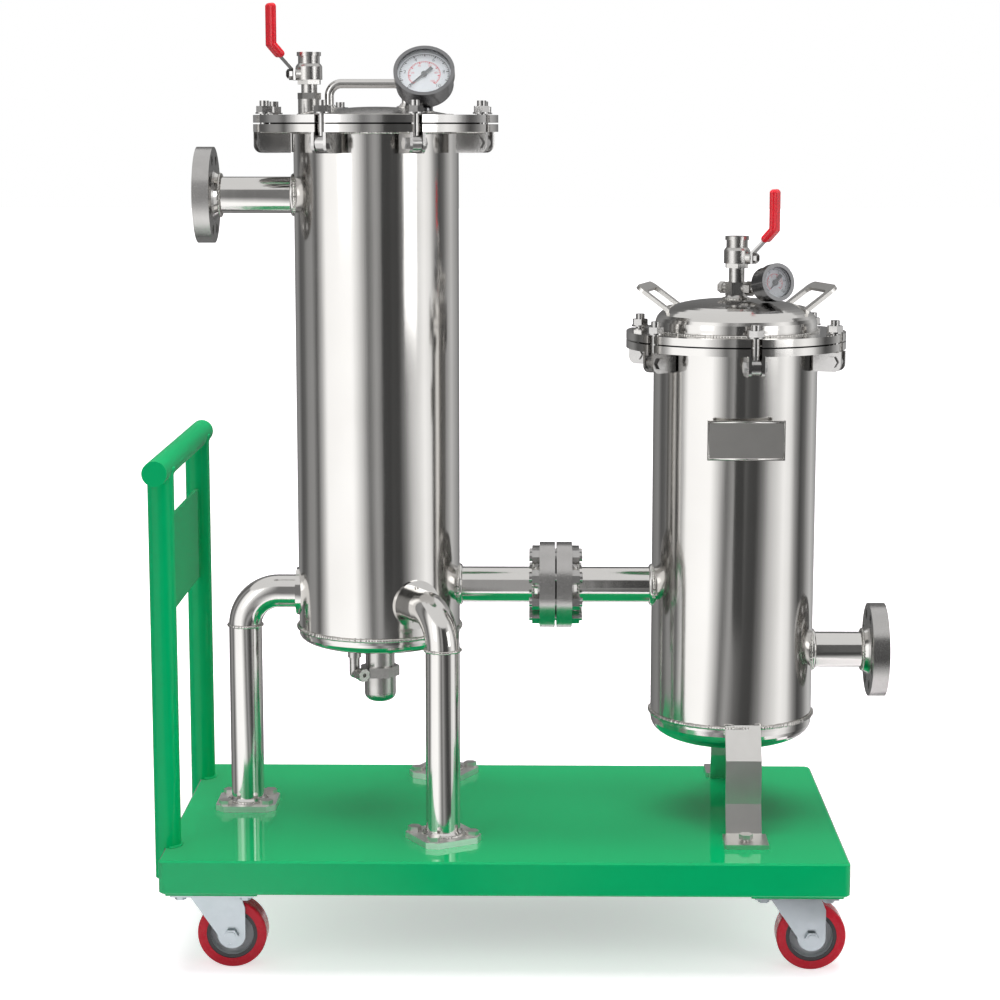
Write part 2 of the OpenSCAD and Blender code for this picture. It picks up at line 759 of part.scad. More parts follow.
module tall_legs() {
  color("gainsboro") at_tall() for (a = leg_angles) rotate([0, 0, a]) translate([0, 0, deck_top]) {
    difference() {
      union() {
        leg_path(leg_d / 2, shell_r - 14);
        translate([leg_r, 0, leg_top_h - leg_bend_r]) weld_ring(leg_d / 2, 1.8);
        translate([leg_r, 0, foot_t]) cylinder(r1 = leg_d / 2 + 4, r2 = leg_d / 2, h = 5);
        translate([shell_r - 14, 0, leg_top_h]) along_x() cylinder(r = leg_d / 2 + 10, h = 17);
      }
      leg_path(leg_d / 2 - leg_t, shell_r - 20);
      translate([0, 0, leg_top_h - leg_d]) cylinder(r = shell_r, h = 2 * leg_d);
    }
    difference() {
      translate([leg_r, 0, 0]) linear_extrude(foot_t) foot_outline();
      for (x = [-1, 1], y = [-1, 1]) translate([leg_r + x * foot_bolt_s, y * foot_bolt_s, -1])
        cylinder(r = bolt_d / 2 + seat_gap, h = foot_t + 2);
    }
  }
}

// Legs of the short vessel: a folded strap at the front and one at the back
module strap_outline() {
  knee_r = 136;
  top_z = bag_weld_h + 3;
  knee_z = 100;
  bend_z = 42;
  t = strap_t;
  polygon([
    [shell_r, top_z], [knee_r, knee_z], [knee_r, bend_z], [strap_foot_r, t], [strap_toe_r, t], [strap_toe_r, 0],
    [strap_foot_r - 4, 0], [knee_r - t, bend_z - 4], [knee_r - t, knee_z - 3], [shell_r, top_z - 16]
  ]);
}

strap_foot_r = 150; // inner end of a strap leg's foot
strap_foot_w = 57;

module bag_legs() {
  bead = 2; // room for the weld of the bottom head
  color("gainsboro") at_bag() for (side = [-1, 1]) rotate([0, 0, side * 90]) translate([0, 0, deck_top]) {
    difference() {
      translate([0, -side * strap_shift, 0]) union() {
        rotate([90, 0, 0]) linear_extrude(strap_w, center = true) strap_outline();
        translate([strap_foot_r + 2, -strap_foot_w / 2, 0])
          cube([strap_toe_r - strap_foot_r - 2, strap_foot_w, strap_t]);
      }
      cylinder(r = shell_r, h = 2 * bag_weld_h);
      translate([0, 0, bag_weld_h - 2 * bead]) cylinder(r = shell_r + bead, h = 2 * bead + 0.3);
      translate([strap_bolt_r, -side * strap_shift, -1]) cylinder(r = bolt_d / 2 + seat_gap, h = strap_t + 2);
    }
  }
}

// Nozzles and link pipe
link_gasket_t = 2;

module pipe_flange(diameter, thickness, pcd, holes, hole_r) {
  difference() {
    union() {
      cylinder(r = diameter / 2, h = thickness);
      translate([0, 0, thickness]) cylinder(r1 = tube_r + 9, r2 = tube_r + 4, h = 8);
    }
    translate([0, 0, -1]) cylinder(r = bore_r, h = thickness + 12);
    for (i = [0 : holes - 1]) polar(180 / holes + i * 360 / holes, pcd / 2) translate([0, 0, -1])
      cylinder(r = hole_r, h = thickness + 2);
  }
}

// A pipe from the shell out to face_r, with its flange's face at the end
module flanged_pipe(face_r, diameter, thickness, pcd, holes, hole_r) {
  difference() {
    union() {
      translate([shell_r - 12, 0, 0]) along_x() tube(tube_r, bore_r, face_r - shell_r + 12 - thickness);
      translate([face_r, 0, 0]) rotate([0, -90, 0]) pipe_flange(diameter, thickness, pcd, holes, hole_r);
      translate([shell_r + 1, 0, 0]) along_x() difference() {
        weld_ring(tube_r + 1, 3);
        translate([0, 0, -5]) cylinder(r = tube_r - 1, h = 10);
      }
    }
    translate([0, 0, -pipe_d]) cylinder(r = shell_r, h = 2 * pipe_d);
  }
}

module end_nozzle(face_r) {
  flanged_pipe(face_r, end_flange_d, end_flange_t, end_pcd, end_bolts, end_hole_d / 2);
}

module upper_nozzle() {
  color("gainsboro") at_tall() translate([0, 0, upper_z]) rotate([0, 0, 180]) end_nozzle(upper_nozzle_r);
}

module lower_nozzle() {
  color("gainsboro") at_bag() translate([0, 0, lower_z]) end_nozzle(lower_nozzle_r);
}

module link_half() {
  reach = (bag_x - tall_x - link_gasket_t) / 2;
  flanged_pipe(reach, link_flange_d, link_flange_t, link_pcd, link_bolts, link_bolt_d / 2 + seat_gap);
}

module link_pipes() {
  color("gainsboro") {
    at_tall() translate([0, 0, link_z]) link_half();
    at_bag() translate([0, 0, link_z]) rotate([0, 0, 180]) link_half();
  }
}

module link_bolts_set() {
  grip = 2 * link_flange_t + link_gasket_t;
  color("silver") translate([link_x, vessel_y, link_z]) along_x() for (i = [0 : link_bolts - 1]) {
    polar(180 / link_bolts + i * 360 / link_bolts, link_pcd / 2) {
      cylinder(r = link_bolt_d / 2, h = grip + 28, center = true);
      translate([0, 0, grip / 2]) hex_prism(18, 10);
      translate([0, 0, -grip / 2 - 10]) hex_prism(18, 10);
    }
  }
}

// Vent valves: each stands on a riser, with a ball turned by a lever at the side
tall_riser_h = 40; // from the lid's top face to the valve body
bag_riser_h = 41; // from the dome's crown to the valve body
tee_z = 14; // gauge branch above the dome's crown
tee_l = 60;
tee_angle = -42;

module vent_risers() {
  color("silver") {
    at_tall() translate([tall_vent[0], tall_vent[1], tall_lid_z]) difference() {
      union() {
        cylinder(r = 15, h = 21);
        translate([0, 0, 21]) hex_prism(27, 8);
        translate([0, 0, 29]) cylinder(r = 10.5, h = tall_riser_h - 29);
      }
      translate([0, 0, -1]) cylinder(r = vent_bore_d / 2, h = tall_riser_h + 2);
      translate([-tall_vent[0], -tall_vent[1], -tall_lid_z]) tall_dome_ball();
    }
    at_bag() translate([0, 0, bag_lid_z + bag_dome_h]) difference() {
      union() {
        translate([0, 0, -1]) cylinder(r1 = 18, r2 = 13, h = 6);
        translate([0, 0, 4]) hex_prism(26, 18);
        translate([0, 0, 21]) cylinder(r = 10.5, h = bag_riser_h - 21);
        rotate([0, 0, tee_angle]) translate([0, 0, tee_z]) along_x() cylinder(r = 6.5, h = tee_l);
        rotate([0, 0, tee_angle]) translate([18, 0, tee_z]) along_x() hex_prism(17, 9);
        rotate([0, 0, tee_angle + 180]) translate([0, 0, tee_z]) along_x() cylinder(r = 6.5, h = 22);
        rotate([0, 0, tee_angle + 180]) translate([20, 0, tee_z]) along_x() hex_prism(14, 7);
      }
      translate([0, 0, -2]) cylinder(r = vent_bore_d / 2, h = bag_riser_h + 4);
      rotate([0, 0, tee_angle]) translate([0, 0, tee_z]) along_x() cylinder(r = gauge_port_r, h = tee_l + 1);
      translate([0, 0, -bag_lid_z - bag_dome_h]) bag_lid_dome();
      translate([0, 0, -bag_lid_z - bag_dome_h]) bag_gauge_place() gauge_hull(bag_gauge_d);
    }
  }
}

// A valve body with its bore upright and its stem along X
valve_hex_af = 29;
valve_hex_h = 6;
socket_h = 15;
valve_turn = 30; // of both stems to the front

module valve_body() {
  half = valve_h / 2;
  socket_r = 14.3;
  difference() {
    union() {
      hex_prism(valve_hex_af, valve_hex_h + 1);
      intersection() {
        translate([0, 0, valve_hex_h]) cylinder(r = valve_d / 2, h = valve_h - valve_hex_h);
        translate([0, 0, half]) sphere(r = valve_d / 2 + 2.5);
      }
      translate([0, 0, valve_h - 1]) cylinder(r = socket_r, h = socket_h + 1);
      translate([0, 0, valve_h + socket_h - 5]) cylinder(r = socket_r + 1.7, h = 5);
      translate([0, 0, half]) along_x() cylinder(r = 8.5, h = valve_d / 2 + 5);
    }
    translate([0, 0, -1]) cylinder(r = vent_bore_d / 2, h = valve_h + socket_h + 2);
    translate([0, 0, half]) sphere(r = ball_d / 2 + fit_gap);
    translate([0, 0, half]) along_x() cylinder(r = stem_d / 2 + fit_gap, h = valve_d);
  }
}

module at_tall_valve() {
  at_tall() translate([tall_vent[0], tall_vent[1], tall_lid_z + tall_riser_h])
    rotate([0, 0, 180 + valve_turn]) children();
}

module at_bag_valve() {
  at_bag() translate([0, 0, bag_lid_z + bag_dome_h + bag_riser_h]) rotate([0, 0, -valve_turn]) children();
}

module tall_vent_valve() {
  color("silver") at_tall_valve() valve_body();
}

module bag_vent_valve() {
  color("silver") at_bag_valve() valve_body();
}

// Ball, stem, nut and cranked strap
strap_start = valve_d / 2 + 5 + joint_gap;
grip_x = 54;

strap_wide = 14;

module strap_line() {
  crank = 30;
  polygon([
    [strap_start, -8], [strap_start + 3, -8], [strap_start + 3, 7], [grip_x + 1.5, 7 + crank],
    [grip_x + 1.5, lever_l], [grip_x - 1.5, lever_l], [grip_x - 1.5, 8 + crank], [strap_start, 8]
  ]);
}

module vent_lever() {
  half = valve_h / 2;
  translate([0, 0, half]) {
    color("silver") {
      difference() {
        sphere(r = ball_d / 2);
        translate([0, 0, -ball_d]) cylinder(r = vent_bore_d / 2, h = 2 * ball_d);
      }
      translate([ball_d / 2 - 1.5, 0, 0]) along_x() cylinder(r = stem_d / 2, h = strap_start + 6 - ball_d / 2);
    }
    color("silver") difference() {
      rotate([90, 0, 0]) linear_extrude(strap_wide, center = true) strap_line();
      along_x() cylinder(r = stem_d / 2, h = 60);
    }
    color("silver") translate([strap_start + 3, 0, 0]) along_x() difference() {
      hex_prism(11, 5);
      translate([0, 0, -1]) cylinder(r = stem_d / 2, h = 7);
    }
  }
}

// Sleeve on the strap: a slanted part over the crank and an upright part above it
module vent_grip() {
  low = 26;
  bend = 38;
  lean = (grip_x - strap_start - 3) / 30;
  color("red") translate([grip_x, 0, valve_h / 2]) difference() {
    union() {
      hull() {
        translate([(low - bend) * lean, 0, low]) sleeve_balls();
        translate([0, 0, bend]) sleeve_balls();
      }
      hull() {
        translate([0, 0, bend]) sleeve_balls();
        translate([0, 0, lever_l - 3]) sleeve_balls();
      }
    }
    strap_room();
  }
}

// The room that the strap fills inside its sleeve
module strap_room() {
  translate([-grip_x, 0, 0]) rotate([90, 0, 0]) linear_extrude(strap_wide, center = true) strap_line();
}

module sleeve_balls() {
  for (y = [-1, 1]) translate([0, y * 5.5, 0]) sphere(r = 5, $fn = 20);
}

module tall_vent_lever() {
  at_tall_valve() vent_lever();
}

module bag_vent_lever() {
  at_bag_valve() vent_lever();
}

module tall_vent_grip() {
  at_tall_valve() vent_grip();
}

module bag_vent_grip() {
  at_bag_valve() vent_grip();
}

// Gauges. In a gauge's own frame the dial faces +Z and the zero of the scale is at the lower left.
bag_gauge_at = [48, -56, 25]; // from the crown of the short lid's dome
tall_gauge_rise = 55; // middle of the tall vessel's gauge above the lid's plate
bezel_w = 5;
dial_drop = 6;
dial_t = 1;
arbor_r = 1.5;

module tall_gauge_place() {
  translate([tall_gauge_at[0], tall_gauge_at[1] - 6, tall_lid_z + tall_gauge_rise])
    rotate([90 - tall_gauge_tilt, 0, 0]) children();
}

module bag_gauge_place() {
  translate([bag_gauge_at[0], bag_gauge_at[1], bag_lid_z + bag_dome_h + bag_gauge_at[2]])
    rotate([0, 0, bag_gauge_yaw]) rotate([90 - bag_gauge_tilt, 0, 0]) children();
}

module at_tall_gauge() {
  at_tall() tall_gauge_place() children();
}

module at_bag_gauge() {
  at_bag() bag_gauge_place() children();
}

module gauge_hull(diameter) {
  translate([0, 0, -gauge_depth]) cylinder(r = diameter / 2, h = gauge_depth + 4);
}

module gauge_case(diameter) {
  r = diameter / 2;
  difference() {
    union() {
      translate([0, 0, -gauge_depth]) cylinder(r = r - 2, h = gauge_depth + 3);
      translate([0, 0, -8]) cylinder(r = r, h = 12);
    }
    translate([0, 0, -dial_drop]) cylinder(r = r - bezel_w, h = dial_drop + 6);
    translate([0, 0, 0.5]) cylinder(r = r - bezel_w + 1.5, h = 2);
    translate([0, 0, -dial_drop - 6]) cylinder(r = arbor_r + fit_gap, h = 7);
  }
}

module gauge_cases() {
  boss_h = 12;
  color("silver") {
    at_tall_gauge() gauge_case(tall_gauge_d);
    at_bag_gauge() gauge_case(bag_gauge_d);
    at_tall() translate([tall_gauge_at[0], tall_gauge_at[1], tall_lid_z]) difference() {
      union() {
        cylinder(r = 11, h = boss_h);
        translate([0, 0, boss_h]) hex_prism(17, 8);
        cylinder(r = 7, h = tall_gauge_rise);
      }
      translate([0, 0, -1]) cylinder(r = gauge_port_r, h = 2 * boss_h);
      translate([-tall_gauge_at[0], -tall_gauge_at[1], -tall_lid_z]) tall_dome_ball();
      translate([-tall_gauge_at[0], -tall_gauge_at[1], -tall_lid_z])
        tall_gauge_place() gauge_hull(tall_gauge_d);
    }
  }
}

module gauge_dial(diameter) {
  translate([0, 0, -dial_drop]) tube(diameter / 2 - bezel_w, arbor_r + 1, dial_t);
}

module gauge_dials() {
  color("white") {
    at_tall_gauge() gauge_dial(tall_gauge_d);
    at_bag_gauge() gauge_dial(bag_gauge_d);
  }
}

module gauge_glass(diameter) {
  translate([0, 0, 0.5]) cylinder(r = diameter / 2 - bezel_w + 1.5, h = 2);
}

module gauge_glasses() {
  color("lightcyan") {
    at_tall_gauge() gauge_glass(tall_gauge_d);
    at_bag_gauge() gauge_glass(bag_gauge_d);
  }
}

module gauge_pointer(diameter) {
  reach = diameter / 2 - bezel_w - 9;
  color("black") {
    translate([0, 0, -dial_drop - 5]) cylinder(r = arbor_r, h = 8);
    translate([0, 0, -dial_drop + dial_t + 1.2]) cylinder(r = 4, h = 1.6);
    translate([0, 0, -dial_drop + dial_t + 1.6]) linear_extrude(0.8) rotate([0, 0, 225])
      polygon([[-14, -2.6], [-14, 2.6], [0, 1.6], [reach, 0.5], [reach, -0.5], [0, -1.6]]);
  }
}

module tall_gauge_pointer() {
  at_tall_gauge() gauge_pointer(tall_gauge_d);
}

module bag_gauge_pointer() {
  at_bag_gauge() gauge_pointer(bag_gauge_d);
}

// Blank name plate on a folded bracket, in front of the short vessel
module name_plate() {
  width = 101;
  height = 52;
  stand = 12;
  sheet = 2;
  drop = 121; // below the flange face
  color("silver") at_bag() translate([6, 0, bag_flange_z - drop]) difference() {
    union() {
      translate([-width / 2, -shell_r - stand, -height / 2]) cube([width, sheet, height]);
      for (x = [-1, 1]) translate([x * (width / 2 - 1) - 1, -shell_r - stand, -height / 2]) cube([2, 7, height]);
      for (x = [-1, 1]) translate([x * 20 - 10, -shell_r - stand + sheet, -12]) cube([20, stand + 6, 24]);
    }
    translate([-6, 0, -height]) cylinder(r = shell_r, h = 2 * height);
  }
}

// Drain under the tall vessel: a capped main drain and a small bleed cock beside it
drain_bore_r = 14;
side_drain_x = -34;
side_drain_y = -14;

module drain_fitting() {
  color("silver") at_tall() translate([0, 0, tall_weld_z]) {
    difference() {
      union() {
        translate([0, 0, -58]) cylinder(r = 20, h = 58 - tall_head_h + 8);
        translate([0, 0, -72]) hex_prism(46, 14);
        translate([0, 0, -94]) cylinder(r = 21.5, h = 22);
        translate([0, 0, -94]) mirror([0, 0, 1]) dished_solid(21.5, 14);
      }
      translate([0, 0, -90]) cylinder(r = drain_bore_r, h = 90);
      translate([0, 0, -8]) mirror([0, 0, 1]) dished_solid(shell_r, tall_head_h - 8);
      translate([0, 0, -8.1]) cylinder(r = 40, h = 20);
    }
    translate([side_drain_x, side_drain_y, 0]) difference() {
      union() {
        translate([0, 0, -44]) cylinder(r = 9, h = 44 - tall_head_h + 16);
        translate([0, 0, -66]) cylinder(r = 7, h = 30);
        translate([0, 0, -66]) sphere(r = 7);
        translate([0, 0, -66]) rotate([0, 0, -50]) along_x() cylinder(r = 6.5, h = 15);
        translate([0, 0, -66]) rotate([0, 0, -50]) translate([9, 0, 0]) along_x() hex_prism(15, 6);
      }
      translate([-side_drain_x, -side_drain_y, -8]) mirror([0, 0, 1]) dished_solid(shell_r, tall_head_h - 8);
      translate([0, 0, -8.1]) cylinder(r = 30, h = 40);
      translate([0, 0, -66]) rotate([0, 0, -50]) translate([4, 0, 0]) along_x()
        cylinder(r = 3 + fit_gap, h = 20);
    }
  }
}

module at_drain_knob() {
  at_tall() translate([side_drain_x, side_drain_y, tall_weld_z - 66]) rotate([0, 0, -50]) children();
}

module drain_knob() {
  color("silver") at_drain_knob() {
    translate([5, 0, 0]) along_x() cylinder(r = 3, h = 14);
    translate([16, 0, 0]) along_x() difference() {
      cylinder(r = 9, h = 7);
      for (i = [0 : 7]) polar(i * 45, 10.4) translate([0, 0, -1]) cylinder(r = 2.4, h = 9);
      translate([0, 0, -1]) cylinder(r = 3, h = 9);
    }
  }
}

// Filter elements
module cartridge_set() {
  sheet_z = link_z + tube_r + 16;
  sheet_t = 8;
  ring_r = cartridge_d + 4;
  cartridge_l = tall_flange_z - cartridge_headroom - sheet_z - sheet_t - seat_gap;
  color("ivory") at_tall() {
    difference() {
      translate([0, 0, sheet_z]) cylinder(r = shell_r - shell_t, h = sheet_t);
      translate([0, 0, sheet_z - 1]) cylinder(r = 12, h = sheet_t + 2);
      for (i = [0 : cartridges - 2]) polar(30 + i * 60, ring_r) translate([0, 0, sheet_z - 1])
        cylinder(r = 12, h = sheet_t + 2);
    }
    translate([0, 0, sheet_z + sheet_t + seat_gap]) {
      tube(cartridge_d / 2, 14, cartridge_l);
      for (i = [0 : cartridges - 2]) polar(30 + i * 60, ring_r) tube(cartridge_d / 2, 14, cartridge_l);
    }
  }
}

module bag_basket() {
  top = bag_flange_z;
  wall = 2;
  color("silver") at_bag() difference() {
    union() {
      translate([0, 0, top - basket_l]) cylinder(r = basket_d / 2, h = basket_l);
      translate([0, 0, top - 22]) cylinder(r = shell_r - shell_t, h = 6);
    }
    translate([0, 0, top - basket_l + wall]) cylinder(r = basket_d / 2 - wall, h = basket_l);
  }
}

deck();
push_handle();
caster_plates();
caster_bolts();
deck_bolts();
fork(-1, -1);  // fork_front_left
fork(1, -1);  // fork_front_right
fork(-1, 1);  // fork_back_left
fork(1, 1);  // fork_back_right
wheel(-1, -1);  // wheel_front_left
wheel(1, -1);  // wheel_front_right
wheel(-1, 1);  // wheel_back_left
wheel(1, 1);  // wheel_back_right
tall_shell();
tall_bottom_head();
tall_legs();
tall_lid();
tall_lid_handle();
bag_shell();
bag_bottom_head();
bag_legs();
bag_lid();
bag_lid_handles();
swing_lugs();
gaskets();
upper_nozzle();
lower_nozzle();
link_pipes();
link_bolts_set();
vent_risers();
tall_vent_valve();
bag_vent_valve();
tall_vent_lever();
bag_vent_lever();
tall_vent_grip();
bag_vent_grip();
gauge_cases();
gauge_dials();
gauge_glasses();
tall_gauge_pointer();
bag_gauge_pointer();
name_plate();
drain_fitting();
drain_knob();
cartridge_set();
bag_basket();
tall_swing_bolt(0);  // tall_swing_bolt_1
tall_swing_bolt(1);  // tall_swing_bolt_2
tall_swing_bolt(2);  // tall_swing_bolt_3
tall_swing_bolt(3);  // tall_swing_bolt_4
tall_swing_bolt(4);  // tall_swing_bolt_5
tall_swing_bolt(5);  // tall_swing_bolt_6
tall_swing_bolt(6);  // tall_swing_bolt_7
tall_swing_bolt(7);  // tall_swing_bolt_8
bag_swing_bolt(0);  // bag_swing_bolt_1
bag_swing_bolt(1);  // bag_swing_bolt_2
bag_swing_bolt(2);  // bag_swing_bolt_3
bag_swing_bolt(3);  // bag_swing_bolt_4
bag_swing_bolt(4);  // bag_swing_bolt_5
bag_swing_bolt(5);  // bag_swing_bolt_6
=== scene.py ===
# %% [markdown]
# A skid-mounted filter system, dressed for its portrait.
# The CAD model already has every solid at its real size, so this notebook adds what a photograph
# shows and CAD leaves out: polished steel, gloss paint, weld beads, threads and printed dials.

# %% Load the CAD model
import json
import math
import random

import bpy
from mathutils import Matrix, Vector


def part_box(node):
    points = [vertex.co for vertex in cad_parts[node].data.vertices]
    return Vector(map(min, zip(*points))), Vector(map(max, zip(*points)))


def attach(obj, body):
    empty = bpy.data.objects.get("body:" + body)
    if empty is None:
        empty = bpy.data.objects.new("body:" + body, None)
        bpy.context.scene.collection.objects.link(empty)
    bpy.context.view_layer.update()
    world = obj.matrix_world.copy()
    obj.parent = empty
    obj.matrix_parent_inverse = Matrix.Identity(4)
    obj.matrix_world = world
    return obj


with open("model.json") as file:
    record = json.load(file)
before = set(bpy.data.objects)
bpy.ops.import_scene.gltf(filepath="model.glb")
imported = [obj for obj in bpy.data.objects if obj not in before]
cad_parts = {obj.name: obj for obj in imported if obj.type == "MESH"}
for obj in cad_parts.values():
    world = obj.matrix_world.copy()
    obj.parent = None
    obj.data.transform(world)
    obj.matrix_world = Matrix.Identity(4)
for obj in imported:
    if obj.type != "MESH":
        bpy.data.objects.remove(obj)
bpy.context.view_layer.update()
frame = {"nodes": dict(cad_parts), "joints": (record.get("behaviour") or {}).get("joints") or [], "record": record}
bodies = frame["record"]["behaviour"]["bodies"]
body_of_node = {node: body for body, nodes in bodies.items() for node in nodes}

# %% [markdown]
# Every size below is in metres and is the real one.

# %% Driving sizes
SHELL_R = 0.1095
PIPE_R = 0.02415
LEG_R = 0.0225
STUD_R = 0.006
THREAD_PITCH = 0.00175
WELD_R = 0.0026
THIN_WELD_R = 0.0018
SHEET_WELD_R = 0.0022
HUB_WELD_R = 0.0024


def middle(node):
    low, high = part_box(node)
    return (low + high) / 2


tall_axis = middle("tall_lid")
bag_axis = middle("bag_lid")
deck_low, deck_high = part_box("deck")
print("vessel axes at x", round(tall_axis.x, 4), "and", round(bag_axis.x, 4))

# %% [markdown]
# Shader maths reads best as plain arithmetic. This small class wraps one socket of a material, so
# that 1 - mask or noise * 0.2 + 0.1 adds the Math nodes by itself. Any other node comes from
# one method, which takes the node's kind, its settings and the values of its sockets.

# %% A socket that Python can calculate with
class Wire:
    def __init__(self, tree, socket=None):
        self.tree = tree
        self.socket = socket

    def make(self, kind, settings=None, sockets=None, out=0):
        node = self.tree.nodes.new(kind)
        for key, value in (settings or {}).items():
            if key == "stops":
                self.fill_ramp(node.color_ramp, value)
            else:
                setattr(node, key, value)
        for key, value in (sockets or {}).items():
            self.feed(node.inputs[key], value)
        return Wire(self.tree, node.outputs[out])

    def feed(self, target, value):
        if isinstance(value, Wire):
            self.tree.links.new(value.socket, target)
        else:
            target.default_value = value

    def fill_ramp(self, ramp, stops):
        while len(ramp.elements) < len(stops):
            ramp.elements.new(0.5)
        for element, (place, shade) in zip(ramp.elements, stops):
            element.position = place
            element.color = (shade, shade, shade, 1)

    def math(self, operation, a, b=0.0):
        return self.make("ShaderNodeMath", {"operation": operation}, {0: a, 1: b})

    def __add__(self, other):
        return self.math("ADD", self, other)

    def __sub__(self, other):
        return self.math("SUBTRACT", self, other)

    def __rsub__(self, other):
        return self.math("SUBTRACT", other, self)

    def __mul__(self, other):
        return self.math("MULTIPLY", self, other)

    def __truediv__(self, other):
        return self.math("DIVIDE", self, other)

    __radd__ = __add__
    __rmul__ = __mul__

    def smooth(self, low, high):
        sockets = {"Value": self, "From Min": low, "From Max": high}
        return self.make("ShaderNodeMapRange", {"interpolation_type": "SMOOTHSTEP"}, sockets)

    def mixed(self, first, second):
        sockets = {0: self, 6: first, 7: second}
        return self.make("ShaderNodeMix", {"data_type": "RGBA"}, sockets, 2)


print("shader maths ready")

# %% [markdown]
# A finish starts as one Principled shader. Constant values are set on the shader's own sockets,
# and only what really changes over a surface is linked. The place on the surface is the object
# coordinate, which is in metres here and turns with a moving piece.

# %% Helpers that every finish uses
def rgba(r, g, b):
    return (r, g, b, 1.0)


def new_finish(name, **constants):
    material = bpy.data.materials.new(name)
    material.use_nodes = True
    shader = material.node_tree.nodes["Principled BSDF"]
    for socket, value in constants.items():
        shader.inputs[socket.replace("_", " ")].default_value = value
    return material, Wire(material.node_tree), shader


def place(wire, scale=(1, 1, 1)):
    point = wire.make("ShaderNodeTexCoord", out=3)
    if scale == (1, 1, 1):
        return point
    return wire.make("ShaderNodeVectorMath", {"operation": "MULTIPLY"}, {0: point, 1: scale})


def noise(wire, point, scale, detail=2.0, roughness=0.5):
    sockets = {"Vector": point, "Scale": scale, "Detail": detail, "Roughness": roughness}
    return wire.make("ShaderNodeTexNoise", None, sockets)


def axis_of(wire, point, axis):
    return wire.make("ShaderNodeSeparateXYZ", None, {0: point}, axis)


def bumped(wire, height, depth):
    return wire.make("ShaderNodeBump", None, {"Height": height, "Distance": depth, "Strength": 1.0})


finishes = {}
print("shader helpers ready")

# %% [markdown]
# The shells are mirror polished and then lightly buffed up and down. A real polished tube is never
# optically flat, so its reflections of the studio waver a little: a slow bump does that, stretched
# along Z. Hair lines from the buffing are a second, much finer bump in the same direction.

# %% Polished stainless steel
WAVER = 0.26
HAIR_LINES = 0.02
POLISH_DEPTH = 0.0009


def polished_steel():
    material, wire, shader = new_finish("polished_stainless", Metallic=1.0)
    point = place(wire)
    slow = noise(wire, place(wire, (1.0, 1.0, 0.12)), 26.0, 2.0)
    hair = noise(wire, place(wire, (1.0, 1.0, 0.02)), 900.0, 3.0, 0.6)
    cloud = noise(wire, point, 9.0, 3.0)
    tone = cloud.mixed(rgba(0.60, 0.585, 0.565), rgba(0.68, 0.668, 0.65))
    wire.feed(shader.inputs["Base Color"], tone)
    wire.feed(shader.inputs["Roughness"], hair * 0.05 + cloud * 0.04 + 0.07)
    height = slow * WAVER + hair * HAIR_LINES
    wire.feed(shader.inputs["Normal"], bumped(wire, height, POLISH_DEPTH))
    return material


finishes["stainless"] = polished_steel()
print("polished stainless:", len(finishes["stainless"].node_tree.nodes), "nodes")

# %% [markdown]
# The tall vessel's flat lid comes off a lathe. Its turning lines are rings about the vessel's
# axis, so the distance from that axis drives a fine wave.

# %% Turned stainless steel
RING_WAVES = 9000.0
TURNED = 0.62
TURNED_DEPTH = 0.00004


def turned_steel():
    material, wire, shader = new_finish("tall_lid_turned", Metallic=1.0)
    point = place(wire)
    from_axis = {0: point, 1: (tall_axis.x, tall_axis.y, 0)}
    offset = wire.make("ShaderNodeVectorMath", {"operation": "SUBTRACT"}, from_axis)
    level = {0: offset, 1: (1, 1, 0)}
    flat = wire.make("ShaderNodeVectorMath", {"operation": "MULTIPLY"}, level)
    radius = wire.make("ShaderNodeVectorMath", {"operation": "LENGTH"}, {0: flat}, 1)
    rings = wire.math("SINE", radius * RING_WAVES)
    cloud = noise(wire, point, 14.0, 3.0)
    tone = rgba(TURNED, TURNED * 0.98, TURNED * 0.96)
    bright = rgba(TURNED + 0.08, TURNED + 0.07, TURNED + 0.06)
    wire.feed(shader.inputs["Base Color"], cloud.mixed(tone, bright))
    wire.feed(shader.inputs["Roughness"], cloud * 0.08 + 0.12)
    height = rings * 0.5 + cloud * 2.0
    wire.feed(shader.inputs["Normal"], bumped(wire, height, TURNED_DEPTH))
    return material


finishes["tall_lid_steel"] = turned_steel()
print("turned finish for the tall lid")

# %% [markdown]
# Valve bodies and fittings are investment castings, blasted to a silk finish. Bolts and nuts are
# plain machined bars, straps and feet are folded or pressed sheet. All are duller than the shells,
# so one recipe serves them: a fine noise carries the grain, and the shade and gloss differ.

# %% Cast, machined and brushed steel
def grained_steel(name, low, high, rough, grain_scale, grain_depth):
    material, wire, shader = new_finish(name, Metallic=1.0)
    point = place(wire)
    grain = noise(wire, point, grain_scale, 3.0, 0.6)
    cloud = noise(wire, point, 60.0, 2.0)
    wire.feed(shader.inputs["Base Color"], cloud.mixed(low, high))
    wire.feed(shader.inputs["Roughness"], grain * 0.12 + rough)
    wire.feed(shader.inputs["Normal"], bumped(wire, grain, grain_depth))
    return material


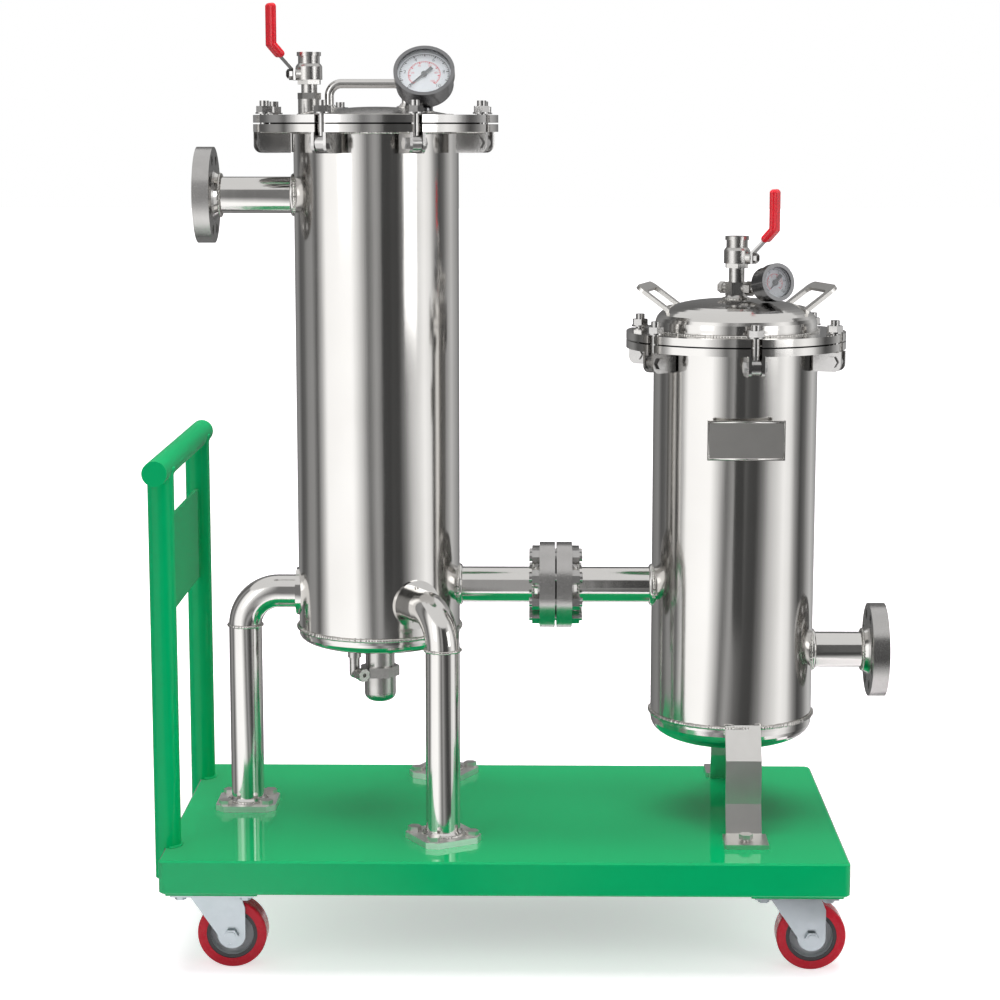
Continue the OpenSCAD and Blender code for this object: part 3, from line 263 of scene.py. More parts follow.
finishes["cast_stainless"] = grained_steel(
    "cast_stainless", rgba(0.42, 0.41, 0.395), rgba(0.54, 0.53, 0.515), 0.14, 1400.0, 0.00012)
finishes["bolt_stainless"] = grained_steel(
    "bolt_stainless", rgba(0.38, 0.375, 0.37), rgba(0.50, 0.49, 0.48), 0.10, 2200.0, 0.00005)
finishes["weld"] = grained_steel(
    "weld_bead", rgba(0.42, 0.41, 0.39), rgba(0.68, 0.66, 0.63), 0.12, 700.0, 0.0002)
finishes["satin"] = grained_steel(
    "satin_sheet", rgba(0.66, 0.645, 0.62), rgba(0.72, 0.705, 0.68), 0.30, 900.0, 0.00002)
finishes["strap_steel"] = grained_steel(
    "folded_sheet", rgba(0.74, 0.725, 0.70), rgba(0.80, 0.785, 0.76), 0.28, 900.0, 0.00004)
finishes["foot_steel"] = grained_steel(
    "pressed_foot", rgba(0.78, 0.77, 0.755), rgba(0.86, 0.85, 0.835), 0.34, 900.0, 0.00004)
finishes["bezel"] = grained_steel(
    "gauge_bezel", rgba(0.20, 0.20, 0.205), rgba(0.26, 0.26, 0.265), 0.12, 2000.0, 0.00002)
print(len(finishes), "steel finishes")

# %% [markdown]
# The trolley is sprayed with a gloss enamel. A clear coat gives its hard reflections, and a
# shallow slow bump the orange peel that every sprayed sheet has. The handle's tubes took less
# paint than the deck, so their coat is thinner and keeps more of the green.

# %% Green gloss paint
def green_paint(name, gloss):
    material, wire, shader = new_finish(
        name, Roughness=0.45, Specular_IOR_Level=0.0,
        Coat_Weight=gloss, Coat_IOR=1.34, Coat_Roughness=0.03)
    point = place(wire)
    cloud = noise(wire, point, 5.0, 3.0)
    peel = noise(wire, point, 260.0, 1.0)
    green = cloud.mixed(rgba(0.0, 0.455, 0.145), rgba(0.001, 0.505, 0.165))
    wire.feed(shader.inputs["Base Color"], green)
    wire.feed(shader.inputs["Normal"], bumped(wire, peel, 0.00008))
    return material


finishes["green_paint"] = green_paint("green_enamel", 1.0)
finishes["handle_green"] = green_paint("green_enamel_thin", 0.5)
print("green enamel ready, glossy on the deck and thinner on the handle")

# %% [markdown]
# Casters are pressed from sheet and zinc plated: pale, bluish, with soft cloudy patches. Random
# cells vary the gloss from patch to patch, as the crystals of real plating do.

# %% Zinc plate
def zinc_plate():
    material, wire, shader = new_finish("zinc_plate", Metallic=1.0)
    point = place(wire)
    cells = {"Vector": point, "Scale": 160.0}
    spangle = wire.make("ShaderNodeTexVoronoi", {"feature": "F1"}, cells, 1)
    patch = wire.make("ShaderNodeSeparateColor", None, {0: spangle})
    cloud = noise(wire, point, 40.0, 3.0)
    zinc = cloud.mixed(rgba(0.38, 0.43, 0.45), rgba(0.47, 0.515, 0.535))
    wire.feed(shader.inputs["Base Color"], zinc)
    wire.feed(shader.inputs["Roughness"], patch * 0.06 + cloud * 0.10 + 0.24)
    wire.feed(shader.inputs["Normal"], bumped(wire, cloud, 0.0004))
    return material


finishes["zinc"] = zinc_plate()
print("zinc ready")

# %% [markdown]
# The tyres are cast polyurethane, red and glossy, with scuffs that are duller and darker. A noise
# that is cut off below its middle leaves just the scuffed spots.

# %% Red tyre
def tyre_red():
    material, wire, shader = new_finish(
        "red_polyurethane", Specular_IOR_Level=0.15, Coat_Weight=0.2, Coat_Roughness=0.12)
    point = place(wire)
    scuff = noise(wire, point, 120.0, 4.0, 0.7)
    cloud = noise(wire, point, 30.0, 2.0)
    worn = scuff.smooth(0.45, 0.75)
    body = cloud.mixed(rgba(0.56, 0.004, 0.020), rgba(0.66, 0.008, 0.030))
    wire.feed(shader.inputs["Base Color"], (worn * 0.25).mixed(body, rgba(0.40, 0.03, 0.04)))
    wire.feed(shader.inputs["Roughness"], worn * 0.2 + 0.24)
    wire.feed(shader.inputs["Normal"], bumped(wire, scuff, 0.00015))
    return material


finishes["tyre_red"] = tyre_red()
print("red tyre ready")

# %% [markdown]
# Plastic, rubber, print and dial enamel are all coloured through and moulded or rolled on. They
# share one recipe, and differ in colour, gloss and the depth of their grain.

# %% Moulded and printed finishes
def moulded(name, low, high, rough, depth):
    material, wire, shader = new_finish(name)
    point = place(wire)
    grain = noise(wire, point, 900.0, 3.0, 0.6)
    cloud = noise(wire, point, 50.0, 2.0)
    wire.feed(shader.inputs["Base Color"], cloud.mixed(low, high))
    wire.feed(shader.inputs["Roughness"], grain * 0.12 + rough)
    wire.feed(shader.inputs["Normal"], bumped(wire, grain, depth))
    return material


MOULDED = {
    "core": ("black_core", (0.018, 0.018, 0.020), (0.032, 0.032, 0.034), 0.34, 0.0001),
    "red_sleeve": ("red_vinyl", (0.78, 0.006, 0.016), (0.88, 0.012, 0.030), 0.16, 0.00003),
    "gasket": ("gasket_rubber", (0.02, 0.02, 0.02), (0.045, 0.045, 0.045), 0.6, 0.0002),
    "dial": ("dial_enamel", (0.62, 0.645, 0.68), (0.66, 0.685, 0.72), 0.35, 0.00001),
    "black_paint": ("black_enamel", (0.010, 0.010, 0.010), (0.020, 0.020, 0.020), 0.3, 0.00001),
    "red_print": ("red_print", (0.60, 0.02, 0.03), (0.70, 0.03, 0.04), 0.4, 0.00001),
    "filter_media": ("wound_media", (0.78, 0.77, 0.72), (0.86, 0.85, 0.81), 0.7, 0.0006),
    "web_grey": ("grey_wheel_web", (0.42, 0.445, 0.455), (0.52, 0.545, 0.555), 0.34, 0.0001),
}
for key, (name, low, high, rough, depth) in MOULDED.items():
    finishes[key] = moulded(name, rgba(*low), rgba(*high), rough, depth)
print(len(finishes), "finishes so far")

# %% [markdown]
# A gauge glass is thin and flat. Low alpha with a sharp gloss shows the dial through it and still
# catches the lamps, and it stays clear in an exported model.

# %% Gauge glass
def gauge_glass():
    material, wire, shader = new_finish("gauge_glass", Roughness=0.03, Alpha=0.10)
    smear = noise(wire, place(wire), 80.0, 2.0)
    tint = smear.mixed(rgba(0.85, 0.9, 0.92), rgba(0.92, 0.95, 0.96))
    wire.feed(shader.inputs["Base Color"], tint)
    return material


finishes["glass"] = gauge_glass()
print("glass ready")

# %% [markdown]
# Each CAD node takes the finish that the record names for it, with a few listed here: the lid that is
# turned, the folded straps, the plate and loop handles of satin sheet, and darker bolts and bezels.

# %% Finishes on the CAD nodes
OWN_FINISH = {
    "tall_lid": "tall_lid_steel",
    "bag_legs": "strap_steel",
    "deck_bolts": "strap_steel",
    "name_plate": "satin",
    "bag_lid_handles": "satin",
    "push_handle": "handle_green",
    "swing_lugs": "bolt_stainless",
    "gauge_cases": "bezel",
}
for part in frame["record"]["subparts"]:
    node = frame["nodes"][part["node"]]
    node.data.materials.clear()
    node.data.materials.append(finishes[OWN_FINISH.get(part["node"], part["material_slot"])])

# %% [markdown]
# A wheel is one solid in CAD, but a red tyre bonded on a black rim with a grey web in life. A
# face's distance from the axle decides which of the three it is.

# %% Three finishes on each wheel
BOND_R = 0.0331
RIM_R = 0.0283


def three_tone(wheel):
    mesh = wheel.data
    mesh.materials.clear()
    for name in ("tyre_red", "core", "web_grey"):
        mesh.materials.append(finishes[name])
    axle = middle(wheel.name)
    for face in mesh.polygons:
        corners = [mesh.vertices[i].co for i in face.vertices]
        reach = max(math.hypot(v.x - axle.x, v.z - axle.z) for v in corners)
        face.material_index = 0 if reach > BOND_R else 1 if reach > RIM_R else 2


wheel_names = sorted(name for name in frame["nodes"] if name.startswith("wheel_"))
for name in wheel_names:
    three_tone(frame["nodes"][name])
print(len(wheel_names), "wheels in three colours")

# %% [markdown]
# The pipes are polished, but their flanges are turned and left as the lathe leaves them: satin, a
# little darker. A face further from the pipe's axis than its hub belongs to the flange. The legs'
# foot plates are satin too, and a face's height above the deck finds them.

# %% Turned flanges on polished pipes
HUB_R = 0.0315
FOOT_PLATE_T = 0.0085
finishes["flange_steel"] = grained_steel(
    "flange_turned", rgba(0.42, 0.41, 0.40), rgba(0.50, 0.49, 0.48), 0.20, 1500.0, 0.00004)


def two_tone(node):
    mesh = node.data
    mesh.materials.append(finishes["flange_steel"])
    axis = middle(node.name)
    for face in mesh.polygons:
        corners = [mesh.vertices[i].co for i in face.vertices]
        reach = max(math.hypot(v.y - tall_axis.y, v.z - axis.z) for v in corners)
        face.material_index = int(reach > HUB_R)


for name in ("upper_nozzle", "lower_nozzle", "link_pipes"):
    two_tone(frame["nodes"][name])
legs = frame["nodes"]["tall_legs"].data
legs.materials.append(finishes["foot_steel"])
for face in legs.polygons:
    top = max(legs.vertices[i].co.z for i in face.vertices)
    face.material_index = int(top < deck_high.z + FOOT_PLATE_T)
print("flanges turned on 3 nodes, foot plates satin")

# %% [markdown]
# New pieces are built from plain lists of points and faces. Each is told at once which body it
# rides on, so that it moves with the right part, and which finish it has.

# %% Add a piece
def add_piece(name, verts, faces, finish, body, smooth=True):
    mesh = bpy.data.meshes.new(name)
    mesh.from_pydata([tuple(v) for v in verts], [], faces)
    mesh.materials.append(finishes[finish])
    mesh.polygons.foreach_set("use_smooth", [smooth] * len(mesh.polygons))
    piece = bpy.data.objects.new(name, mesh)
    bpy.context.scene.collection.objects.link(piece)
    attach(piece, body)
    return piece


print("add_piece ready")

# %% [markdown]
# A tube swept along a path makes every bead and rim. Its rings are square to the path, and its
# radius may change from ring to ring. An open tube gets a flat face at each end.

# %% Sweep a tube along a path
NEARLY_UPRIGHT = 0.05
BEAD_SIDES = 8


def sweep(path, radii, closed=True):
    sides = BEAD_SIDES
    verts = []
    faces = []
    count = len(path)
    for i, point in enumerate(path):
        ahead = path[(i + 1) % count] if closed else path[min(i + 1, count - 1)]
        behind = path[i - 1] if closed else path[max(i - 1, 0)]
        along = (ahead - behind).normalized()
        side = along.cross(Vector((0, 0, 1)))
        side = Vector((1, 0, 0)) if side.length < NEARLY_UPRIGHT else side.normalized()
        up = side.cross(along)
        for k in range(sides):
            turn = 2 * math.pi * k / sides
            verts.append(point + (side * math.cos(turn) + up * math.sin(turn)) * radii[i])
    rings = count if closed else count - 1
    for i in range(rings):
        a = i * sides
        b = ((i + 1) % count) * sides
        faces += [(a + k, a + (k + 1) % sides, b + (k + 1) % sides, b + k) for k in range(sides)]
    if not closed:
        first_end = tuple(range(sides - 1, -1, -1))
        last_end = tuple(range((count - 1) * sides, count * sides))
        faces += [first_end, last_end]
    return verts, faces


print("sweep ready")

# %% [markdown]
# A hand weld is a row of overlapping puddles, all about as long. The seam's path, which is drawn
# with any points at first, is therefore walked in even steps, four to a puddle.

# %% Even steps along a seam
PUDDLE = 0.0038
STEPS_PER_PUDDLE = 4
FEWEST_STEPS = 12


def resample(path, step, closed):
    points = list(path) + ([path[0]] if closed else [])
    lengths = [0.0]
    for a, b in zip(points, points[1:]):
        lengths.append(lengths[-1] + (b - a).length)
    count = max(FEWEST_STEPS, round(lengths[-1] / step))
    out = []
    j = 0
    for i in range(count if closed else count + 1):
        want = lengths[-1] * i / count
        while j < len(points) - 2 and lengths[j + 1] < want:
            j += 1
        span = lengths[j + 1] - lengths[j]
        out.append(points[j].lerp(points[j + 1], (want - lengths[j]) / span if span else 0))
    return out, lengths[-1]


print("puddles of", PUDDLE * 1000, "mm")

# %% [markdown]
# Along the seam the bead's radius rises and falls once per puddle, with a little chance in each,
# so that the light breaks up on it as on the real seams. Each bead is sunk half into its corner.
# The dice are seeded by the seam's length and number, so every run gives the same beads.

# %% Weld beads
weld_paths = []


def bead(path, size=WELD_R, closed=True):
    points, length = resample(path, PUDDLE / STEPS_PER_PUDDLE, closed)
    dice = random.Random(round(length * 1e5) + len(weld_paths))
    puddles = [dice.uniform(0.86, 1.14) for _ in range(len(points) // STEPS_PER_PUDDLE + 2)]
    radii = []
    for i in range(len(points)):
        phase = (i % STEPS_PER_PUDDLE) / STEPS_PER_PUDDLE
        swell = 0.86 + 0.22 * math.sin(math.pi * phase)
        radii.append(size * puddles[i // STEPS_PER_PUDDLE] * swell)
    weld_paths.append((points, radii, closed))


print("bead radius", WELD_R * 1000, "mm")

# %% [markdown]
# Most seams have one of three shapes: a level ring round a vessel or leg, an upright ring round
# a pipe, or a saddle, where a round pipe meets the round shell.

# %% Shapes of seams
def ring(centre, radius, steps=96):
    turns = [2 * math.pi * i / steps for i in range(steps)]
    return [centre + Vector((math.cos(t) * radius, math.sin(t) * radius, 0)) for t in turns]


def saddle(centre, angle, pipe_r, steps=72):
    turned = Matrix.Rotation(angle, 3, "Z")
    out = []
    for i in range(steps):
        t = 2 * math.pi * i / steps
        y = pipe_r * math.cos(t)
        on_shell = Vector((math.sqrt(SHELL_R ** 2 - y * y), y, pipe_r * math.sin(t)))
        out.append(centre + turned @ on_shell)
    return out


def upright_ring(centre, radius, steps=64):
    turns = [2 * math.pi * i / steps for i in range(steps)]
    return [centre + Vector((0, math.cos(t) * radius, math.sin(t) * radius)) for t in turns]


print("rings and saddles ready")

# %% [markdown]
# Each shell has one seam to its dished bottom and one under its rim flange, both plain rings. The
# nozzles and the link pipe meet the shells in saddles, a little wider than the pipe.

# %% Welds on the vessels
FLANGE_T = 0.010
BOTTOM_SEAM_DROP = 0.0016
SADDLE_WELD_R = 0.003
tall_low, tall_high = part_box("tall_shell")
bag_low, bag_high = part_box("bag_shell")


def over(axis, z):
    return Vector((axis.x, axis.y, z))


for axis, low, high in ((tall_axis, tall_low, tall_high), (bag_axis, bag_low, bag_high)):
    bead(ring(over(axis, low.z - BOTTOM_SEAM_DROP), SHELL_R + 0.0006), WELD_R * 1.1)
    bead(ring(over(axis, high.z - FLANGE_T), SHELL_R + 0.0004), WELD_R)
upper = middle("upper_nozzle")
lower = middle("lower_nozzle")
link = middle("link_bolts_set")
seat = PIPE_R + 0.0012
bead(saddle(over(tall_axis, upper.z), math.pi, seat), SADDLE_WELD_R)
bead(saddle(over(tall_axis, link.z), 0.0, seat), SADDLE_WELD_R)
bead(saddle(over(bag_axis, link.z), math.pi, seat), SADDLE_WELD_R)
bead(saddle(over(bag_axis, lower.z), 0.0, seat), SADDLE_WELD_R)
print(len(weld_paths), "vessel welds")

# %% [markdown]
# A leg is a bought elbow between two straight tubes: it has a saddle seam on the shell, a ring
# where the elbow ends, and a ring on its foot plate.

# %% Welds on the legs
LEG_ANGLES = (180, -60, 64)
LEG_REACH = 0.184
LEG_TOP = 0.301
LEG_BEND = 0.047
FOOT_T = 0.008
LEG_RING_STEPS = 48
deck_top = deck_high.z
for degrees in LEG_ANGLES:
    angle = math.radians(degrees)
    bead(saddle(over(tall_axis, deck_top + LEG_TOP), angle, LEG_R + 0.001), SADDLE_WELD_R)
    foot = tall_axis + Vector((math.cos(angle), math.sin(angle), 0)) * LEG_REACH
    elbow_end = over(foot, deck_top + LEG_TOP - LEG_BEND)
    bead(ring(elbow_end, LEG_R + 0.0004, LEG_RING_STEPS), SHEET_WELD_R)
    bead(ring(over(foot, deck_top + FOOT_T), LEG_R + 0.0035, LEG_RING_STEPS), HUB_WELD_R)
print(len(weld_paths), "welds with the legs")

# %% [markdown]
# Smaller seams hold what stands on the lids. The tall lid's low dome is a cap of a large ball, so
# a bead on it follows that ball's height.

# %% Welds on the tall lid
DOME_H = 0.011
DOME_R = 0.102
BALL_R = (DOME_R ** 2 + DOME_H ** 2) / (2 * DOME_H)
tall_lid_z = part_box("tall_lid")[0].z + FLANGE_T


def on_tall_dome(x, y):
    reach = math.hypot(x, y)
    rise = DOME_H - BALL_R + math.sqrt(BALL_R ** 2 - reach ** 2)
    return Vector((tall_axis.x + x, tall_axis.y + y, tall_lid_z + max(rise, 0.0)))


def ring_on_dome(x, y, radius, steps=48):
    turns = [2 * math.pi * i / steps for i in range(steps)]
    return [on_tall_dome(x + math.cos(t) * radius, y + math.sin(t) * radius) for t in turns]


# x, y and radius of what stands on the tall lid: vent riser, gauge boss, two handle bosses
TALL_LID_SEAMS = (
    (-0.088, 0.0, 0.0154), (0.066, -0.036, 0.0114), (-0.062, 0.006, 0.0112), (0.040, 0.006, 0.0112))
for x, y, radius in TALL_LID_SEAMS:
    bead(ring_on_dome(x, y, radius), THIN_WELD_R)
bead(ring(over(tall_axis, tall_lid_z), DOME_R + 0.0004), 0.0012)
print(len(weld_paths), "welds with the tall lid")

# %% [markdown]
# The short lid's dome is squarer than an ellipse, and its two loop handles lean outward. Each is
# cut to lie on the dome in a slanted plane. No plain formula gives that curve, so for each point
# across the loop, halving finds where plane and dome meet.

# %% Welds on the short lid
bag_lid_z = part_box("bag_lid")[0].z + FLANGE_T
crown_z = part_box("bag_lid")[1].z
BAG_DOME_R = 0.108
BAG_DOME_SKIRT = 0.008
BAG_RISER_SEAM_R = 0.0178
bead(ring(over(bag_axis, bag_lid_z), BAG_DOME_R + 0.0006), SHEET_WELD_R)
bead(ring(over(bag_axis, crown_z - 0.0003), BAG_RISER_SEAM_R, 48), 0.002)


def bag_dome_z(reach):
    depth = crown_z - bag_lid_z - BAG_DOME_SKIRT
    share = max(0.0, 1.0 - (reach / BAG_DOME_R) ** 2.5)
    return bag_lid_z + BAG_DOME_SKIRT + depth * share ** 0.4


LOOP_TURN = 15
LOOP_ROOT_R = 0.074
LOOP_ROOT_DROP = 0.022
LOOP_SLOPE = math.radians(36)
LOOP_HALF = 0.041
ROOT_WELD_DROP = 0.003
ROOT_STEPS = 32
HALVINGS = 24


def loop_root(turn):
    path = []
    for i in range(ROOT_STEPS + 1):
        across = -LOOP_HALF + 2 * LOOP_HALF * i / ROOT_STEPS
        near, far = 0.060, 0.104
        for _ in range(HALVINGS):
            guess = (near + far) / 2
            climb = (guess - LOOP_ROOT_R) * math.tan(LOOP_SLOPE)
            plane = crown_z - LOOP_ROOT_DROP + climb - ROOT_WELD_DROP
            if plane < bag_dome_z(math.hypot(guess, across)):
                near = guess
            else:
                far = guess
        point = Matrix.Rotation(turn, 3, "Z") @ Vector((near, across, 0))
        path.append(Vector((bag_axis.x + point.x, bag_axis.y + point.y, plane)))
    return path


for turn in (math.radians(LOOP_TURN), math.radians(180 - LOOP_TURN)):
    bead(loop_root(turn), THIN_WELD_R, closed=False)
print(len(weld_paths), "welds with the lids")

# %% [markdown]
# Every lug of a swing bolt hangs from its rim flange by two short straight seams, one on each side,
# which repeat round the rim: eight lugs on the tall vessel and six on the short one.

# %% Welds on lugs
LUG_HALF = 0.0106
LUG_OUTWARD = 0.0085
# how many, first angle, vessel's axis, distance from it, length inward, height of the rim's top
LUG_RINGS = (
    (8, 22.5, tall_axis, 0.153, 0.032, tall_high.z),
    (6, -84.0, bag_axis, 0.1375, 0.026, bag_high.z))
for count, first, axis, reach, inward, rim in LUG_RINGS:
    under_rim = over(axis, rim - FLANGE_T)
    for i in range(count):
        turned = Matrix.Rotation(math.radians(first + i * 360 / count), 3, "Z")
        for side in (-1, 1):
            ends = [turned @ Vector((reach + along, side * LUG_HALF, 0))
                    for along in (-inward, LUG_OUTWARD)]
            bead([under_rim + end for end in ends], 0.0016, closed=False)
print(len(weld_paths), "welds with the lugs")

# %% [markdown]
# The folded straps are welded to the short shell along three sides of their tops, so that seam is
# bent round the shell. Each pipe is welded to the hub of its flange by an upright ring.

# %% Welds on straps and flanges
STRAP_TOP = 0.142
STRAP_SHIFT = 0.008
STRAP_HALF = 0.0235
STRAP_SIDE = 0.014
strap_corners = (
    (-STRAP_HALF, -STRAP_SIDE), (-STRAP_HALF, 0.0), (STRAP_HALF, 0.0), (STRAP_HALF, -STRAP_SIDE))
for side in (-1, 1):
    path = []
    for along, drop in strap_corners:
        x = STRAP_SHIFT + along
        y = side * math.sqrt(SHELL_R ** 2 - x * x)
        path.append(Vector((bag_axis.x + x, bag_axis.y + y, deck_top + STRAP_TOP + drop)))
    bead(path, SHEET_WELD_R, closed=False)
END_FLANGE_T = 0.022
LINK_FLANGE_T = 0.021
HALF_GASKET = 0.001
HUB = 0.008
low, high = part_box("upper_nozzle")
hub_ends = [Vector((low.x + END_FLANGE_T + HUB, tall_axis.y, upper.z))]
low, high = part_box("lower_nozzle")
hub_ends.append(Vector((high.x - END_FLANGE_T - HUB, tall_axis.y, lower.z)))
for side in (-1, 1):
    reach = side * (HALF_GASKET + LINK_FLANGE_T + HUB)
    hub_ends.append(Vector((link.x + reach, tall_axis.y, link.z)))
for hub_end in hub_ends:
    bead(upright_ring(hub_end, PIPE_R + 0.0028), HUB_WELD_R)
bare_welds = list(weld_paths)
print(len(bare_welds), "bare welds")

# %% [markdown]
# The handle was welded before it was sprayed, so its seams are green. A post's head is cut to fit
# round the crossbar, and its seam follows that cut. Both stop short of the outside, where the
# posts stand flush with the deck's end.

# %% Painted welds on the handle
POST_R = 0.017
POST_Y = 0.168
BAR_R = 0.016
PANEL_SIDE = 0.0022
PANEL_ENDS = (0.297, 0.421)
HEAD_STEPS, HEAD_SHARE = 48, 0.74
FOOT_STEPS, FOOT_SHARE = 24, 0.44
post_x = deck_low.x + 0.003
bar_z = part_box("push_handle")[1].z - BAR_R


def part_turn(share, steps):
    return [math.pi * (-share + 2 * share * i / steps) for i in range(steps + 1)]


for side in (-POST_Y, POST_Y):
    foot = [Vector((post_x + math.cos(t) * POST_R, side + math.sin(t) * POST_R, deck_top + 0.0003))
            for t in part_turn(FOOT_SHARE, FOOT_STEPS)]
    bead(foot, SHEET_WELD_R, closed=False)
    head = []
    for t in part_turn(HEAD_SHARE, HEAD_STEPS):
        x, y = POST_R * math.cos(t), POST_R * math.sin(t)
        drop = math.sqrt(max(0.0, BAR_R ** 2 - x ** 2))
        head.append(Vector((post_x + x, side + y, bar_z - drop)))
    bead(head, SHEET_WELD_R, closed=False)
    inner = side - math.copysign(POST_R + 0.0002, side)
    for face in (-PANEL_SIDE, PANEL_SIDE):
        seam = [Vector((post_x + face, inner, deck_top + z)) for z in PANEL_ENDS]
        bead(seam, THIN_WELD_R, closed=False)
painted_welds = weld_paths[len(bare_welds):]
print(len(painted_welds), "painted welds")

# %% [markdown]
# All bare seams become one piece and all painted ones another, so that the unit stays easy to
# handle. The blank name plate gets a bright rolled rim, swept like a bead but with an even radius.

# %% Make the weld meshes
def join_beads(name, paths, finish, body):
    verts = []
    faces = []
    for points, radii, closed in paths:
        more_verts, more_faces = sweep(points, radii, closed)
        shift = len(verts)
        verts += more_verts
        faces += [tuple(i + shift for i in face) for face in more_faces]
    return add_piece(name, verts, faces, finish, body)


low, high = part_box("name_plate")
RIM = 0.0017
corners = [(low.x + RIM, low.z + RIM), (high.x - RIM, low.z + RIM),
           (high.x - RIM, high.z - RIM), (low.x + RIM, high.z - RIM)]
rim = sweep([Vector((x, low.y + 0.0002, z)) for x, z in corners], [RIM] * 4)
add_piece("plate_rim", rim[0], rim[1], "stainless", "skid")
join_beads("weld_beads", bare_welds, "weld", "skid")
join_beads("painted_welds", painted_welds, "handle_green", "skid")
print("weld beads:", sum(len(p[0]) for p in weld_paths), "rings")

# %% [markdown]
# The swing bolts' studs are threaded where they stand out of their nuts. A thread is a helix, so
# its mesh is a small ridge swept round the stud while it climbs one pitch per turn. Each thread
# rides on its own bolt and swings out with it.

# %% Threads
STEPS_PER_TURN = 20
# how far the ridge's three edges stand out from the stud, and how high they lie
RIDGE = ((-0.0004, -0.0007), (0.00055, 0.0), (-0.0004, 0.0007))
STUD_CORE_R = STUD_R - 0.0002
LID_T = 0.012
NUT_TOP = 0.0118
STUD_END = 0.0012


def thread(name, stud, low_z, high_z, body):
    steps = round((high_z - low_z) / THREAD_PITCH * STEPS_PER_TURN)
    verts = []
    faces = []
    for i in range(steps + 1):
        turn = 2 * math.pi * i / STEPS_PER_TURN
        climb = low_z + THREAD_PITCH * i / STEPS_PER_TURN
        out = Vector((math.cos(turn), math.sin(turn), 0))
        for reach, rise in RIDGE:
            verts.append(over(stud, climb + rise) + out * (STUD_CORE_R + reach))
    for i in range(steps):
        a = 3 * i
        faces += [(a, a + 1, a + 4, a + 3), (a + 1, a + 2, a + 5, a + 4)]
    return add_piece(name, verts, faces, "bolt_stainless", body)


swing_bolts = sorted(name for name in frame["nodes"] if "swing_bolt_" in name)
for name in swing_bolts:
    pivot = next(j for j in frame["joints"] if j["child"] == name)
    lid_top = (tall_high.z if name.startswith("tall") else bag_high.z) + LID_T
    stud_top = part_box(name)[1].z - STUD_END
    stud = Vector(pivot["pos_m"])
    thread(name + "_thread", stud, lid_top + NUT_TOP, stud_top, body_of_node[name])
print(len(swing_bolts), "threaded studs")

# %% [markdown]
# A dial faces along its pointer's axle. The joint of the pointer gives that axle, and from it a
# frame with X across the dial, Y up it and Z out of it, in which the print is easy to lay out.

# %% Dial frames
DIALS = {
    "tall": {"joint": "tall_gauge_needle", "radius": 0.035},
    "bag": {"joint": "bag_gauge_needle", "radius": 0.020},
}


def dial_frame(joint_name):
    joint = next(j for j in frame["joints"] if j["name"] == joint_name)
    normal = -Vector(joint["axis"]).normalized()
    across = Vector((0, 0, 1)).cross(normal).normalized()
    up = normal.cross(across)
    matrix = Matrix((across, up, normal)).transposed().to_4x4()
    matrix.translation = Vector(joint["pos_m"])
    return matrix


for key, dial in DIALS.items():
    print(key, "pointer at", [round(v, 3) for v in dial_frame(dial["joint"]).translation])

# %% [markdown]
# The dials carry a black scale outside and a red one inside. Each tick is a thin bar lying just
# above the enamel, and a ring joins them. A scale runs clockwise over 270 degrees.

# %% Ticks and rings
PRINT_Z = -0.0048
SCALE_START, SCALE_SWEEP = 225, 270
RING_STEPS = 90


def bar(matrix, angle, inner, outer, width):
    out = Vector((math.cos(angle), math.sin(angle), 0))
    side = Vector((-out.y, out.x, 0)) * width / 2
    corners = [out * inner - side, out * outer - side, out * outer + side, out * inner + side]
    return [matrix @ (c + Vector((0, 0, PRINT_Z))) for c in corners]


def scale_bars(matrix, radius, inner, long_step, count):
    verts = []
    for i in range(count + 1):
        angle = math.radians(SCALE_START - SCALE_SWEEP * i / count)
        long_one = i % long_step == 0
        start = inner - (0.10 if long_one else 0.06) * radius
        width = (0.050 if long_one else 0.026) * radius
        verts += bar(matrix, angle, start, inner, width)
    faces = [(4 * i, 4 * i + 1, 4 * i + 2, 4 * i + 3) for i in range(len(verts) // 4)]
    return verts, faces


def arc_band(matrix, radius, width):
    verts = []
    for i in range(RING_STEPS + 1):
        angle = math.radians(SCALE_START - SCALE_SWEEP * i / RING_STEPS)
        for reach in (radius - width / 2, radius + width / 2):
            corner = Vector((math.cos(angle) * reach, math.sin(angle) * reach, PRINT_Z))
            verts.append(matrix @ corner)
    faces = [(2 * i, 2 * i + 1, 2 * i + 3, 2 * i + 2) for i in range(RING_STEPS)]
    return verts, faces


print("scale helpers ready")

# %% [markdown]
# The numbers come from Blender's own font. A text object is turned into a mesh and removed again,
# and its points go into the same mesh as the ticks, so each colour of print is one piece.

# %% Dial numbers
def number_mesh(text, size):
    curve = bpy.data.curves.new("digits", "FONT")
    curve.body = text
    curve.size = size
    curve.align_x = "CENTER"
    curve.align_y = "CENTER"
    maker = bpy.data.objects.new("digits", curve)
    bpy.context.scene.collection.objects.link(maker)
    bpy.context.view_layer.update()
    depsgraph = bpy.context.evaluated_depsgraph_get()
    mesh = maker.evaluated_get(depsgraph).to_mesh()
    verts = [v.co.copy() for v in mesh.vertices]
    faces = [tuple(p.vertices) for p in mesh.polygons]
    bpy.data.objects.remove(maker)
    bpy.data.curves.remove(curve)
    return verts, faces


print("number helper ready")

# %% Print both dials
BLACK = {"ring": 0.93, "ticks": 50, "numbers": 0.74, "size": 0.21, "factor": 1}
RED = {"ring": 0.60, "ticks": 35, "numbers": 0.44, "size": 0.12, "factor": 10}
LONG_STEP = 5
RING_W = 0.018
SCALE_TOP, NUMBER_STEP = 10, 2


